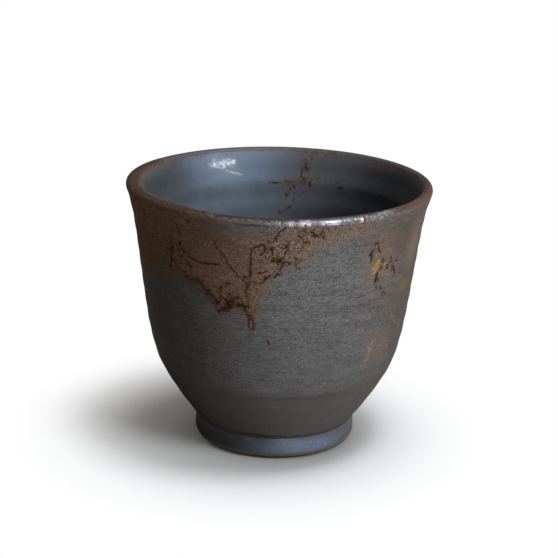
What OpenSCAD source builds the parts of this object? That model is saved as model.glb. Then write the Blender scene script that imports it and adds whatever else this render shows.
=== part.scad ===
// Hand-thrown stoneware tea cup with a flared lip and a foot ring.
// The clay is one thrown body on one foot ring. Every glaze coat and every iron splash is a solid of
// its own, laid face to face on what it covers. Z is the cup's axis and the cup stands on Z = 0.

/* [Cup] */
// Outer diameter at the lip
rim_d = 85.4; // [76:0.2:96]
// Height from the table to the top of the lip
cup_h = 75; // [66:0.5:84]
// Thickness of the rounded lip, glaze included
lip_t = 2.7; // [2.2:0.1:3.4]
// Outward lean of the wall where it meets the lip, in degrees
lip_lean = 18; // [12:1:24]
// Depth of the flared band inside, from the top of the lip to its crease
flare_h = 10; // [7:0.5:13]
// Wall thickness at the crease inside
wall_t = 3.8; // [3.2:0.1:4.8]
// Wall thickness just above the foot ring
wall_foot_t = 6.4; // [5.2:0.1:7.8]
// Thickness of the floor at its centre
floor_t = 4; // [3.2:0.1:5]
// Height above the floor at which the rounded bottom of the bowl begins
bowl_h = 9; // [7:0.5:12]

/* [Foot ring] */
// Height of the foot ring, from the table to the crease under the body
foot_h = 6.3; // [5:0.1:8]
// Largest diameter of the foot ring
foot_d = 45.9; // [40:0.1:50]
// How far each side draws in from the widest up to the crease under the body
foot_draw = 0.45; // [0.2:0.05:1.2]
// How far each side rounds in from the widest down to the land
foot_round = 2.5; // [1.5:0.1:3.5]
// Height at which the foot ring is widest
bulge_h = 2.4; // [1.8:0.1:3.2]
// Width of the flat land that rests on the table
land_w = 1.6; // [1.2:0.1:2.4]
// Rounding between the land and the recess
land_ease = 0.8; // [0.5:0.1:1.2]
// Thickness of the ring's clay at the ceiling of the recess
ring_t = 4.9; // [4:0.1:6]

/* [Glaze] */
// Thickness of every glaze coat
glaze_t = 0.4; // [0.25:0.05:0.6]
// Height of the bare clay left below the glaze on the foot ring
bare_h = 0.8; // [0.5:0.1:1.6]

/* [Iron splashes] */
// Thickness of the iron splashes over the glaze
splash_t = 0.15; // [0.1:0.05:0.3]
// Width of the front splash
front_splash_w = 49; // [36:1:56]
// Height of the front splash
front_splash_h = 25; // [18:1:28]
// Drop from the top of the lip to the middle of the front splash
front_splash_drop = 15; // [14:0.5:22]
// Width of the side splash
side_splash_w = 12; // [8:0.5:15]
// Height of the side splash
side_splash_h = 14; // [10:0.5:18]
// Drop from the top of the lip to the middle of the side splash
side_splash_drop = 15.5; // [12:0.5:24]
// Width of the inside splash
inside_splash_w = 10; // [7:0.5:13]
// Height of the inside splash
inside_splash_h = 17.5; // [12:0.5:20]
// Drop from the top of the lip to the middle of the inside splash
inside_splash_drop = 11.5; // [10:0.5:18]

/* [Hidden] */
$fn = 96;
// Bearings of the splashes round the cup, in degrees from the front, counter-clockwise from above
front_splash_turn = -12;
side_splash_turn = 44;
inside_splash_turn = 171;
// Outlines of the splashes: shares of their width, rightwards as seen from outside the cup, and of
// their height, upwards, both from their middle
front_splash_shares = [[-0.50, 0.00], [-0.48, 0.29], [-0.37, 0.46], [-0.02, 0.49], [0.29, 0.46],
    [0.49, 0.45], [0.46, 0.35], [0.36, 0.21], [0.28, 0.04], [0.19, 0.06], [0.12, -0.05],
    [0.04, -0.11], [0.02, -0.46], [-0.06, -0.50], [-0.16, -0.44], [-0.19, -0.30], [-0.37, -0.16]];
side_splash_shares = [[-0.37, 0.50], [-0.23, 0.33], [-0.22, 0.19], [-0.08, 0.10], [0.18, 0.02],
    [0.50, -0.02], [0.48, -0.12], [0.18, -0.13], [-0.06, -0.18], [-0.06, -0.49], [-0.18, -0.40],
    [-0.22, -0.19], [-0.40, -0.09], [-0.50, 0.23]];
inside_splash_shares = [[-0.50, 0.50], [-0.47, 0.38], [-0.38, 0.15], [-0.36, 0.03], [-0.22, -0.05],
    [-0.04, -0.13], [0.16, -0.36], [0.41, -0.50], [0.50, -0.46], [0.22, -0.23], [0.36, -0.13],
    [0.34, -0.02], [0.20, 0.07], [-0.04, 0.08], [-0.20, 0.27], [-0.16, 0.50]];
// Outline of the outer wall between the crease at the foot and the lip: shares of its height and of
// the growth of its radius
wall_height_shares = [0, 0.065, 0.15, 0.26, 0.38, 0.52, 0.67, 0.80, 0.915, 1];
wall_reach_shares = [0, 0.155, 0.345, 0.545, 0.660, 0.737, 0.805, 0.860, 0.922, 1];
// How the wall thins from foot to crease: 1 is even, more keeps the thickness low down
wall_taper = 1.6;
// Handles of the curve of the bowl's bottom: shares of its radius and of the slope's length
bowl_flat_share = 0.5;
bowl_slope_share = 0.32;
wall_steps = 5;
arc_steps = 10;
bowl_steps = 10;
splash_steps = 3;

rim_r = rim_d / 2;
lip_r = lip_t / 2;
foot_r = foot_d / 2;
foot_clay_r = foot_r - glaze_t;
neck_r = foot_r - foot_draw;
neck_clay_r = neck_r - glaze_t;
rest_r = foot_r - foot_round;
recess_r = neck_clay_r - ring_t;
floor_z = foot_h + floor_t;
crease_z = cup_h - flare_h;
lip_centre = [rim_r - lip_r, cup_h - lip_r];
lip_tangent = [sin(lip_lean), cos(lip_lean)];

function unit(v) = v / norm(v);
function left_of(v) = [-v.y, v.x];
function tangent(p, i, first, last) =
    i == 0 ? first : i == len(p) - 1 ? last : unit(p[i + 1] - p[i - 1]);
function depth_at(depth, i) = is_list(depth) ? depth[i] : depth;
// A line moved to its left by a depth, or by one depth for each point
function inset(p, depth, first, last) =
    [for (i = [0:len(p) - 1]) p[i] + depth_at(depth, i) * left_of(tangent(p, i, first, last))];
function reversed(p) = [for (i = [len(p) - 1:-1:0]) p[i]];
function from_second(p) = [for (i = [1:len(p) - 1]) p[i]];
function arc(centre, radius, from, to) =
    [for (i = [0:arc_steps]) let (a = from + (to - from) * i / arc_steps)
        centre + radius * [cos(a), sin(a)]];

// A smooth curve through stations, with a guide point before the first and after the last
function curve_point(a, b, c, d, t) =
    (2 * b + (c - a) * t + (2 * a - 5 * b + 4 * c - d) * t * t
        + (3 * b - a - 3 * c + d) * t * t * t) / 2;
function curve(p, steps) = concat(
    [for (i = [1:len(p) - 3], k = [0:steps - 1])
        curve_point(p[i - 1], p[i], p[i + 1], p[i + 2], k / steps)],
    [p[len(p) - 2]]);
function closed_curve(p, steps) =
    [for (i = [0:len(p) - 1], k = [0:steps - 1])
        curve_point(p[(i + len(p) - 1) % len(p)], p[i], p[(i + 1) % len(p)],
            p[(i + 2) % len(p)], k / steps)];
function bezier(a, b, c, d, t) =
    a * pow(1 - t, 3) + 3 * b * pow(1 - t, 2) * t + 3 * c * (1 - t) * t * t + d * pow(t, 3);

// Outer wall, from the crease at the foot up to the lip
wall_end = lip_centre - lip_r * left_of(lip_tangent);
wall_start = [neck_r, foot_h];
stations = [for (i = [0:len(wall_height_shares) - 1])
    [wall_start.x + (wall_end.x - wall_start.x) * wall_reach_shares[i],
     wall_start.y + (wall_end.y - wall_start.y) * wall_height_shares[i]]];
last_station = stations[len(stations) - 2];
wall = curve(concat([2 * wall_start - stations[1]], stations,
    [last_station + 2 * norm(wall_end - last_station) * lip_tangent]), wall_steps);
wall_tangent = unit(stations[1] - wall_start);

// Inner wall: thick at the foot, even up to the crease, then thinning to the lip
function rise(z) = max(0, min(1, (z - foot_h) / (crease_z - foot_h)));
function thickness(z) = z < crease_z
    ? wall_t + (wall_foot_t - wall_t) * pow(1 - rise(z), wall_taper)
    : wall_t + (lip_t - wall_t) * (z - crease_z) / (wall_end.y - crease_z);
inner_wall = inset(wall, [for (p = wall) thickness(p.y)], wall_tangent, lip_tangent);
upper_wall = [for (p = inner_wall) if (p.y > floor_z + bowl_h) p];
bowl_edge = upper_wall[0];
bowl_slope = unit(upper_wall[1] - bowl_edge);
bowl_bottom = [for (i = [0:bowl_steps - 1])
    bezier([0, floor_z], [bowl_edge.x * bowl_flat_share, floor_z],
        bowl_edge - bowl_slope * bowl_edge.x * bowl_slope_share, bowl_edge, i / bowl_steps)];
// Inside surface, from the middle of the floor out and up to the lip
bowl = concat(bowl_bottom, upper_wall);

// The clay's own surfaces, one coat of glaze below
clay_wall = inset(wall, glaze_t, wall_tangent, lip_tangent);
clay_bowl = inset(bowl, -glaze_t, [1, 0], lip_tangent);
clay_lip = arc(lip_centre, lip_r - glaze_t, -lip_lean, 180 - lip_lean);
glazed_lip = arc(lip_centre, lip_r, -lip_lean, 180 - lip_lean);
clay_seat = [neck_r - glaze_t / wall_tangent.y, foot_h];

// Outside of the foot ring: a rounded edge up to its widest height, then drawn in to the crease
function ring_low(extra) = [for (i = [0:arc_steps]) let (a = 90 * i / arc_steps)
    [rest_r + (foot_clay_r + extra - rest_r) * sin(a), bulge_h * (1 - cos(a))]];
function ring_high(extra) = [for (i = [1:arc_steps]) let (u = i / arc_steps)
    [foot_clay_r + extra - (foot_clay_r - neck_clay_r) * u * u,
     bulge_h + (foot_h - bulge_h) * u]];
function ring_side(extra) = concat(ring_low(extra), ring_high(extra));
// Radius of the foot ring's outside at a height below its widest
function ring_radius(z, extra) =
    rest_r + (foot_clay_r + extra - rest_r) * sqrt(1 - pow(1 - z / bulge_h, 2));
function glazed_side(extra) = concat([[ring_radius(bare_h, extra), bare_h]],
    [for (p = ring_side(extra)) if (p.y > bare_h) p]);
recess_foot = [rest_r - land_w - land_ease, land_ease];
recess_edge = arc([rest_r - land_w, land_ease], land_ease, 270, 180);
// Radius of the recess at the underside of the glaze on its ceiling
recess_glaze_r = recess_r
    + (recess_foot.x - recess_r) * glaze_t / (foot_h - recess_foot.y);

module clay_body() {
    color([0.20, 0.16, 0.13])
        rotate_extrude()
            polygon(concat([[0, foot_h], clay_seat], clay_wall, from_second(clay_lip),
                from_second(reversed(clay_bowl))));
}

module foot_ring() {
    color([0.24, 0.17, 0.11])
        rotate_extrude()
            polygon(concat(ring_side(0), [[recess_r, foot_h]], reversed(recess_edge)));
}

module outer_glaze() {
    color([0.33, 0.33, 0.33])
        rotate_extrude()
            polygon(concat(wall, reversed(clay_wall), [clay_seat]));
}

module rim_glaze() {
    color([0.38, 0.29, 0.23])
        rotate_extrude()
            polygon(concat(glazed_lip, reversed(clay_lip)));
}

module inner_glaze() {
    color([0.30, 0.34, 0.38])
        rotate_extrude()
            polygon(concat(clay_bowl, reversed(bowl)));
}

module foot_glaze() {
    color([0.27, 0.30, 0.36])
        rotate_extrude()
            polygon(concat(glazed_side(glaze_t), reversed(glazed_side(0))));
}

module base_glaze() {
    color([0.27, 0.30, 0.36])
        rotate_extrude()
            polygon([[0, foot_h - glaze_t], [recess_glaze_r, foot_h - glaze_t],
                [recess_r, foot_h], [0, foot_h]]);
}

// A film of iron on one side of the cup: a band between two lines that run round it, kept where an
// outline seen from that side falls on it
module splash(inner_line, outer_line, outline, width, height, drop, turn) {
    color([0.36, 0.20, 0.13])
        intersection() {
            rotate_extrude()
                polygon(concat(inner_line, reversed(outer_line)));
            rotate([0, 0, turn])
                translate([0, 0, cup_h - drop])
                    rotate([90, 0, 0])
                        linear_extrude(height = rim_d)
                            polygon(closed_curve([for (share = outline)
                                [share.x * width, share.y * height]], splash_steps));
        }
}

module iron_splash_front() {
    splash(wall, inset(wall, -splash_t, wall_tangent, lip_tangent), front_splash_shares,
        front_splash_w, front_splash_h, front_splash_drop, front_splash_turn);
}

module iron_splash_side() {
    splash(wall, inset(wall, -splash_t, wall_tangent, lip_tangent), side_splash_shares,
        side_splash_w, side_splash_h, side_splash_drop, side_splash_turn);
}

module iron_splash_inside() {
    splash(upper_wall, inset(upper_wall, splash_t, bowl_slope, lip_tangent), inside_splash_shares,
        inside_splash_w, inside_splash_h, inside_splash_drop, inside_splash_turn);
}

clay_body();
foot_ring();
outer_glaze();
rim_glaze();
inner_glaze();
foot_glaze();
base_glaze();
iron_splash_front();
iron_splash_side();
iron_splash_inside();
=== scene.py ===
"""A hand-thrown stoneware tea cup with a flared lip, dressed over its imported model."""
import math

import bpy
from mathutils import Matrix, Vector


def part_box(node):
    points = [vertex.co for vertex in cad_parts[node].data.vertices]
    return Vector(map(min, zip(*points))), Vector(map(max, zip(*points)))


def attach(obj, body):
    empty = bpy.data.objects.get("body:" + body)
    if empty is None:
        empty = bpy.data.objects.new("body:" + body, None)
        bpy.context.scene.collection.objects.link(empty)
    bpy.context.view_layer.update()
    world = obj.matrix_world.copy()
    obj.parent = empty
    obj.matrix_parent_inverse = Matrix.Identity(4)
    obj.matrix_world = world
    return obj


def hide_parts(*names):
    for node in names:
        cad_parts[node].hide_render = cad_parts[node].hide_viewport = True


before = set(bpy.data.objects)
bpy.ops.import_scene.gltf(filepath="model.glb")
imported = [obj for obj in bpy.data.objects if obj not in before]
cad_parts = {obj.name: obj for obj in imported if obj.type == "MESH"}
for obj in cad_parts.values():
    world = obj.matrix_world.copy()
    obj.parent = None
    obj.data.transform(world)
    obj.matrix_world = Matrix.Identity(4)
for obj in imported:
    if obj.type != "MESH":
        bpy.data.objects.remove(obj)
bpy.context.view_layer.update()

MM = 0.001


# Sizes of the cup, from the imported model
def reach(node, height=None):
    """The largest distance of a node from the cup's axis, or of its points at one height."""
    points = [v.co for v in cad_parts[node].data.vertices]
    if height is not None:
        points = [p for p in points if abs(p.z - height) < LEVEL]
    return max(math.hypot(p.x, p.y) for p in points)


LEVEL = 0.02 * MM
CUP_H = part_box("rim_glaze")[1].z
FOOT_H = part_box("foot_ring")[1].z
GLAZE_T = FOOT_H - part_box("base_glaze")[0].z
BARE_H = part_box("foot_glaze")[0].z
FLOOR_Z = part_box("inner_glaze")[0].z + GLAZE_T
RIM_R = reach("rim_glaze")
NECK_R = reach("outer_glaze", FOOT_H)
FOOT_R = reach("foot_glaze")
REST_R = reach("foot_ring", 0)
RECESS_R = reach("base_glaze", FOOT_H)
BULGE_H = 2.4 * MM
LAND_W = 1.6 * MM
LAND_EASE = 0.8 * MM
LIP_T = 2.7 * MM
LIP_R = LIP_T / 2
LIP_LEAN = math.radians(18)
FLARE_H = 10 * MM
WALL_T = 3.8 * MM
WALL_FOOT_T = 6.4 * MM
WALL_TAPER = 1.6
BOWL_H = 9 * MM
CREASE_Z = CUP_H - FLARE_H
WALL_HEIGHT_SHARES = (0, 0.065, 0.15, 0.26, 0.38, 0.52, 0.67, 0.80, 0.915, 1)
WALL_REACH_SHARES = (0, 0.155, 0.345, 0.545, 0.660, 0.737, 0.805, 0.860, 0.922, 1)
BOWL_FLAT_SHARE = 0.5
BOWL_SLOPE_SHARE = 0.32

# How finely the surfaces are drawn
ROUND_STEPS = 400
WALL_STEPS = 20
ARC_STEPS = 14
BOWL_STEPS = 40
HIDDEN_STEP = 12

# The trimmed zone low on the wall, under a faint step that the turning tool left
TRIM_Z = 23 * MM

# The swelling of the lip: its bearing, how far round it is full and where it ends, and its size
SWELL_AT = math.radians(-78)
SWELL_FULL = math.radians(33)
SWELL_END = math.radians(60)
SWELL_RISE = 7.5 * MM
SWELL_FADE = 1.2 * MM
SWELL_IN = 1.25 * MM
SWELL_UP = 0.35 * MM


# Outlines, as lists of (radius, height)
def left_of(v):
    return Vector((-v.y, v.x))


def arc(centre, radius, start, end):
    angles = [start + (end - start) * i / ARC_STEPS for i in range(ARC_STEPS + 1)]
    return [centre + radius * Vector((math.cos(a), math.sin(a))) for a in angles]


def smooth_through(stations, steps):
    """A smooth curve through stations, with a guide point before the first and after the last."""
    line = []
    for a, b, c, d in zip(stations, stations[1:], stations[2:], stations[3:]):
        for k in range(steps):
            t = k / steps
            line.append((2 * b + (c - a) * t + (2 * a - 5 * b + 4 * c - d) * t ** 2
                         + (3 * b - a - 3 * c + d) * t ** 3) / 2)
    return line + [stations[-2]]


def inset(line, depths, first, last):
    """A line moved to its left, by one depth for each of its points."""
    moved = []
    for i, (point, depth) in enumerate(zip(line, depths)):
        along = first if i == 0 else last if i == len(line) - 1 else line[i + 1] - line[i - 1]
        moved.append(point + depth * left_of(along.normalized()))
    return moved


def wall_lines():
    """The outer wall and the inner wall above it, both from the foot's crease up to the lip."""
    lean = Vector((math.sin(LIP_LEAN), math.cos(LIP_LEAN)))
    start = Vector((NECK_R, FOOT_H))
    end = LIP_CENTRE - LIP_R * left_of(lean)
    stations = [Vector((start.x + (end.x - start.x) * r, start.y + (end.y - start.y) * h))
                for h, r in zip(WALL_HEIGHT_SHARES, WALL_REACH_SHARES)]
    before = 2 * start - stations[1]
    after = stations[-2] + 2 * (end - stations[-2]).length * lean
    outer = smooth_through([before, *stations, after], WALL_STEPS)
    depths = []
    for point in outer:
        rise = (point.y - FOOT_H) / (CREASE_Z - FOOT_H)
        if rise < 1:
            depths.append(WALL_T + (WALL_FOOT_T - WALL_T) * (1 - rise) ** WALL_TAPER)
        else:
            flare = (point.y - CREASE_Z) / (end.y - CREASE_Z)
            depths.append(WALL_T + (LIP_T - WALL_T) * flare)
    return outer, inset(outer, depths, stations[1] - start, lean)


def bowl_line(inner_wall):
    """The inside surface, from the middle of the floor out and up to the lip."""
    upper = [p for p in inner_wall if p.y > FLOOR_Z + BOWL_H]
    edge = upper[0]
    slope = (upper[1] - edge).normalized()
    handles = [Vector((0, FLOOR_Z)), Vector((edge.x * BOWL_FLAT_SHARE, FLOOR_Z)),
               edge - slope * edge.x * BOWL_SLOPE_SHARE, edge]
    bottom = []
    for i in range(BOWL_STEPS):
        t = i / BOWL_STEPS
        weights = ((1 - t) ** 3, 3 * t * (1 - t) ** 2, 3 * t ** 2 * (1 - t), t ** 3)
        bottom.append(sum((w * h for w, h in zip(weights, handles)), Vector((0, 0))))
    return bottom + upper


def foot_line(extra):
    """The outside of the foot ring, from the land up to the crease, in clay or with its glaze."""
    clay_r = FOOT_R - GLAZE_T
    line = []
    for i in range(ARC_STEPS + 1):
        a = math.pi / 2 * i / ARC_STEPS
        line.append(Vector((REST_R + (clay_r + extra - REST_R) * math.sin(a),
                            BULGE_H * (1 - math.cos(a)))))
    for i in range(1, ARC_STEPS + 1):
        u = i / ARC_STEPS
        line.append(Vector((clay_r + extra - (FOOT_R - NECK_R) * u * u,
                            BULGE_H + (FOOT_H - BULGE_H) * u)))
    return line


LIP_CENTRE = Vector((RIM_R - LIP_R, CUP_H - LIP_R))
OUTER_WALL, INNER_WALL = wall_lines()
BOWL = bowl_line(INNER_WALL)


def wall_radius(height, line=OUTER_WALL):
    """The radius of the wall at a height."""
    for low, high in zip(line, line[1:]):
        if low.y <= height <= high.y:
            return low.x + (high.x - low.x) * (height - low.y) / (high.y - low.y)
    return line[-1].x if height > line[-1].y else line[0].x


def on_wall(bearing, height, line=OUTER_WALL):
    """The point of the wall at a bearing in degrees, 0 at the front and + to the right."""
    turn = math.radians(bearing)
    r = wall_radius(height, line)
    return Vector((r * math.sin(turn), -r * math.cos(turn), height))


# Short forms for node trees
FLOAT, INT, VECTOR, RGBA = "NodeSocketFloat", "NodeSocketInt", "NodeSocketVector", "NodeSocketColor"
GEOMETRY, MATERIAL, OBJECT = "NodeSocketGeometry", "NodeSocketMaterial", "NodeSocketObject"
NUMBERS = {float: FLOAT, int: INT}


def new_tree(name, kind, inputs, outputs):
    """A node group with the number or the type of each input, and the type of each output."""
    tree = bpy.data.node_groups.new(name, kind)
    for label, value in inputs.items():
        socket_type = NUMBERS.get(type(value), value)
        socket = tree.interface.new_socket(label, in_out="INPUT", socket_type=socket_type)
        if type(value) in NUMBERS:
            socket.default_value = value
    for label, socket_type in outputs.items():
        tree.interface.new_socket(label, in_out="OUTPUT", socket_type=socket_type)
    return tree, tree.nodes.new("NodeGroupInput").outputs, tree.nodes.new("NodeGroupOutput")


def feed(node, inputs):
    """Gives a node its inputs, as values or as other nodes' outputs."""
    for key, value in inputs.items():
        if isinstance(value, bpy.types.NodeSocket):
            node.id_data.links.new(value, node.inputs[key])
        else:
            node.inputs[key].default_value = value
    return node


def handed_out(result, outputs):
    """The node group with its outputs connected."""
    return feed(result, outputs).id_data


def add(tree, kind, inputs=None, **settings):
    """A node with its settings and its inputs."""
    node = tree.nodes.new(kind)
    for name, value in settings.items():
        setattr(node, name, value)
    return feed(node, inputs or {})


def made(tree, kind, inputs=None, **settings):
    """The first thing that a new node hands on."""
    return add(tree, kind, inputs, **settings).outputs[0]


def reckon(kind, inputs, **settings):
    """A node in the tree that its inputs come from."""
    sockets = [value for value in inputs.values() if isinstance(value, bpy.types.NodeSocket)]
    return add(sockets[0].id_data, kind, inputs, **settings)


def calc(operation, *values):
    return reckon("ShaderNodeMath", dict(enumerate(values)), operation=operation).outputs[0]


def in_turn(operation, values):
    """One calculation over several values, from the first to the last."""
    total = values[0]
    for value in values[1:]:
        total = calc(operation, total, value)
    return total


def times(*values):
    return in_turn("MULTIPLY", values)


def plus(*values):
    return in_turn("ADD", values)


def minus(first, second):
    return calc("SUBTRACT", first, second)


def most(*values):
    return in_turn("MAXIMUM", values)


def shaken(value, rag, much):
    """A value moved up and down by a noise."""
    return plus(value, times(minus(rag, 0.5), much))


def vector_calc(operation, first, second=None, scale=None):
    inputs = {0: first, 1: second, "Scale": scale}
    given = {key: value for key, value in inputs.items() if value is not None}
    node = reckon("ShaderNodeVectorMath", given, operation=operation)
    return node.outputs["Value" if operation in ("LENGTH", "DOT_PRODUCT") else "Vector"]


def vector(x, y, z):
    return reckon("ShaderNodeCombineXYZ", {0: x, 1: y, 2: z}).outputs[0]


def ramp(value, low, high, to_low=0.0, to_high=1.0):
    """A smooth step of a value from low to high."""
    inputs = {0: value, 1: low, 2: high, 3: to_low, 4: to_high}
    return reckon("ShaderNodeMapRange", inputs, interpolation_type="SMOOTHSTEP").outputs[0]


def around(value, near, far, full):
    """A band on both sides of where a value is nought, which fades out from near to far."""
    return ramp(calc("ABSOLUTE", value), near, far, full, 0.0)


def noise(place, scale, detail=3.0, rough=0.5, distortion=0.0):
    return reckon("ShaderNodeTexNoise", {"Vector": place, "Scale": scale, "Detail": detail,
                                         "Roughness": rough, "Distortion": distortion}).outputs[0]


def colour(hexes):
    """A colour written as it looks, such as c08040, in the linear values that shaders take."""
    parts = [int(hexes[i:i + 2], 16) / 255 for i in (0, 2, 4)]
    return (*[p / 12.92 if p <= 0.04045 else ((p + 0.055) / 1.055) ** 2.4 for p in parts], 1.0)


def blend(factor, under, over):
    """One colour over another, each as written in colour() or as a node's output."""
    under, over = (colour(c) if isinstance(c, str) else c for c in (under, over))
    return reckon("ShaderNodeMix", {0: factor, 6: under, 7: over}, data_type="RGBA").outputs[2]


def use_group(group, inputs):
    return reckon("ShaderNodeGroup", inputs, node_tree=group).outputs


# Shapes made by rule: a coat turned from its outline, and threads that follow the wall.
# Within CALM_R of the axis the waver dies away. A ray that starts HOVER off the wall drops a path
# onto it, and grains lie only where the wall faces outwards by more than WALLWARD.
CALM_R = 20 * MM
WELD = 0.001 * MM
ROUTE_STEP = 0.8 * MM
PATH_STEP = 0.3 * MM
SWAY_SCALE = 420.0
GAP_SCALE = 1300.0
WIDTH_SCALE = 1900.0
HOVER = 4 * MM
DROP_REACH = 12 * MM
WALLWARD = 0.3
GRAIN_LEAST = (0.4, 0.4, 0.2)
GRAIN_MOST = (1.9, 1.1, 0.5)
IRON_MARK = "near_iron"
TAIL_MARK = "near_rust_line"
SCRATCH_MARK = "near_scratch"
GLOSS_MARK = "near_gloss_streak"


def handed_out_smooth(result, name, shape, finish):
    """The node group with its shape handed out as one smooth mesh in its finish."""
    real = reckon("GeometryNodeRealizeInstances", {"Geometry": shape}).outputs[0]
    smooth = reckon("GeometryNodeSetShadeSmooth", {"Geometry": real}).outputs[0]
    done = reckon("GeometryNodeSetMaterial", {"Geometry": smooth, "Material": finish})
    return handed_out(result, {name: done.outputs[0]})


def turned_coat_tree():
    """Turns the closed outline in the XZ plane round Z, with the waver and ridges of throwing."""
    tree, given, result = new_tree("Turned coat", "GeometryNodeTree", {
        "Outline": GEOMETRY, "Round steps": 64, "Waver": 0.0, "Waver size": 1.0, "Ridge": 0.0,
        "Ridge pitch": 1.0, "Lip swell": 0.0, "Lip lift": 0.0, "Finish": MATERIAL}, {"Coat": GEOMETRY})
    count = add(tree, "GeometryNodeAttributeDomainSize", {"Geometry": given["Outline"]},
                component="MESH").outputs["Point Count"]
    round_points = plus(given["Round steps"], 1)
    grid = add(tree, "GeometryNodeMeshGrid", {
        "Size X": 1.0, "Size Y": 1.0, "Vertices X": round_points,
        "Vertices Y": plus(count, 1)}).outputs["Mesh"]
    place = made(tree, "GeometryNodeInputPosition")
    flat = add(tree, "ShaderNodeSeparateXYZ", {0: place}).outputs
    step = calc("ROUND", times(plus(flat["Y"], 0.5), count))
    sample = add(tree, "GeometryNodeSampleIndex", {
        "Geometry": given["Outline"], "Value": place, "Index": calc("MODULO", step, count)},
        data_type="FLOAT_VECTOR", domain="POINT")
    outline = add(tree, "ShaderNodeSeparateXYZ", {0: sample.outputs["Value"]}).outputs
    turn = times(plus(flat["X"], 0.5), math.tau)
    outward = vector(calc("SINE", turn), times(calc("COSINE", turn), -1.0), 0.0)
    radius, height = outline["X"], outline["Z"]
    turned = add(tree, "ShaderNodeVectorMath", {
        0: outward, 1: vector(radius, radius, radius), 2: vector(0.0, 0.0, height)},
        operation="MULTIPLY_ADD").outputs["Vector"]
    waver = minus(noise(vector_calc("DIVIDE", turned, vector(*[given["Waver size"]] * 3)), 1.0, 2.0), 0.5)
    spiral = plus(times(calc("DIVIDE", height, given["Ridge pitch"]), math.tau), turn)
    strength = noise(vector_calc("SCALE", turned, scale=90.0), 1.0, 2.0)
    ridge = times(calc("SINE", spiral), strength)
    push = plus(times(waver, given["Waver"]), times(ridge, given["Ridge"]))
    fade = ramp(radius, 0.0, CALM_R)
    # The potter left the lip thicker inwards and a little higher on one side
    off = calc("ABSOLUTE", calc("WRAP", minus(turn, SWELL_AT), math.pi, -math.pi))
    swollen = times(ramp(off, SWELL_FULL, SWELL_END, 1.0, 0.0), ramp(height, CREASE_Z, CREASE_Z + SWELL_RISE))
    middle = plus(times(minus(height, LIP_CENTRE.y), math.tan(LIP_LEAN)), LIP_CENTRE.x)
    inner = ramp(minus(radius, middle), -SWELL_FADE, SWELL_FADE, 1.0, 0.0)
    swell = times(swollen, inner, given["Lip swell"])
    sideways = minus(times(push, fade), swell)
    lifted = vector(0.0, 0.0, times(swollen, given["Lip lift"]))
    shaped = add(tree, "GeometryNodeSetPosition", {
        "Geometry": grid, "Position": turned,
        "Offset": vector_calc("ADD", vector_calc("SCALE", outward, scale=sideways), lifted)})
    closed = made(tree, "GeometryNodeMergeByDistance", {
        "Geometry": shaped.outputs[0], "Distance": WELD})
    return handed_out_smooth(result, "Coat", closed, given["Finish"])


def paths_tree():
    """Lets iron paths wander over the wall from the routes given, with twigs, as loose edges."""
    tree, given, result = new_tree("Iron paths", "GeometryNodeTree", {
        "Routes": GEOMETRY, "Wall": OBJECT, "Side": 1.0, "Wander": 1 * MM, "Twig length": 2 * MM,
        "Twig chance": 0.2, "Seed": 1}, {"Paths": GEOMETRY})
    main = made(tree, "GeometryNodeResampleCurve", {"Curve": given["Routes"], "Length": ROUTE_STEP},
                mode="LENGTH")
    place = made(tree, "GeometryNodeInputPosition")
    outward = vector_calc("NORMALIZE", vector_calc("MULTIPLY", place, (1, 1, 0)))
    chance = add(tree, "FunctionNodeRandomValue", {
        "Probability": given["Twig chance"], "Seed": given["Seed"]}, data_type="BOOLEAN").outputs[3]
    roots = add(tree, "GeometryNodeCurveToPoints", {"Curve": main}, mode="EVALUATED").outputs["Points"]
    facing = made(tree, "FunctionNodeAlignRotationToVector", {"Vector": outward}, axis="Z")
    spin = add(tree, "FunctionNodeRandomValue", {2: -math.pi, 3: math.pi, "Seed": plus(given["Seed"], 1)},
               data_type="FLOAT").outputs[1]
    facing = made(tree, "FunctionNodeRotateRotation", {
        "Rotation": facing, "Rotate By": vector(0.0, 0.0, spin)}, rotation_space="LOCAL")
    stretch = add(tree, "FunctionNodeRandomValue", {2: 0.3, 3: 1.0, "Seed": plus(given["Seed"], 2)},
                  data_type="FLOAT").outputs[1]
    twig = made(tree, "GeometryNodeCurvePrimitiveLine", {
        "Start": (0, 0, 0), "End": vector(given["Twig length"], 0.0, 0.0)})
    twigs = made(tree, "GeometryNodeInstanceOnPoints", {
        "Points": roots, "Selection": chance, "Instance": twig, "Rotation": facing,
        "Scale": vector(stretch, stretch, stretch)})
    twigs = made(tree, "GeometryNodeRealizeInstances", {"Geometry": twigs})
    join = add(tree, "GeometryNodeJoinGeometry")
    tree.links.new(twigs, join.inputs[0])
    tree.links.new(main, join.inputs[0])
    lines = made(tree, "GeometryNodeResampleCurve", {"Curve": join.outputs[0], "Length": PATH_STEP},
                 mode="LENGTH")
    sway = add(tree, "ShaderNodeTexNoise", {"Vector": place, "Scale": SWAY_SCALE, "Detail": 3.0},
               noise_dimensions="3D").outputs["Color"]
    sway = vector_calc("SUBTRACT", sway, (0.5, 0.5, 0.5))
    swayed = made(tree, "GeometryNodeSetPosition", {
        "Geometry": lines, "Offset": vector_calc("SCALE", sway, scale=given["Wander"])})
    wall = add(tree, "GeometryNodeObjectInfo", {"Object": given["Wall"]}).outputs["Geometry"]
    away = vector_calc("SCALE", outward, scale=given["Side"])
    hit = add(tree, "GeometryNodeRaycast", {
        "Target Geometry": wall,
        "Source Position": vector_calc("ADD", place, vector_calc("SCALE", away, scale=HOVER)),
        "Ray Direction": vector_calc("SCALE", away, scale=-1.0), "Ray Length": DROP_REACH}).outputs
    laid = made(tree, "GeometryNodeSetPosition", {
        "Geometry": swayed, "Selection": hit["Is Hit"], "Position": hit["Hit Position"]})
    edges = made(tree, "GeometryNodeCurveToMesh", {"Curve": laid})
    return handed_out(result, {"Paths": edges})


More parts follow.
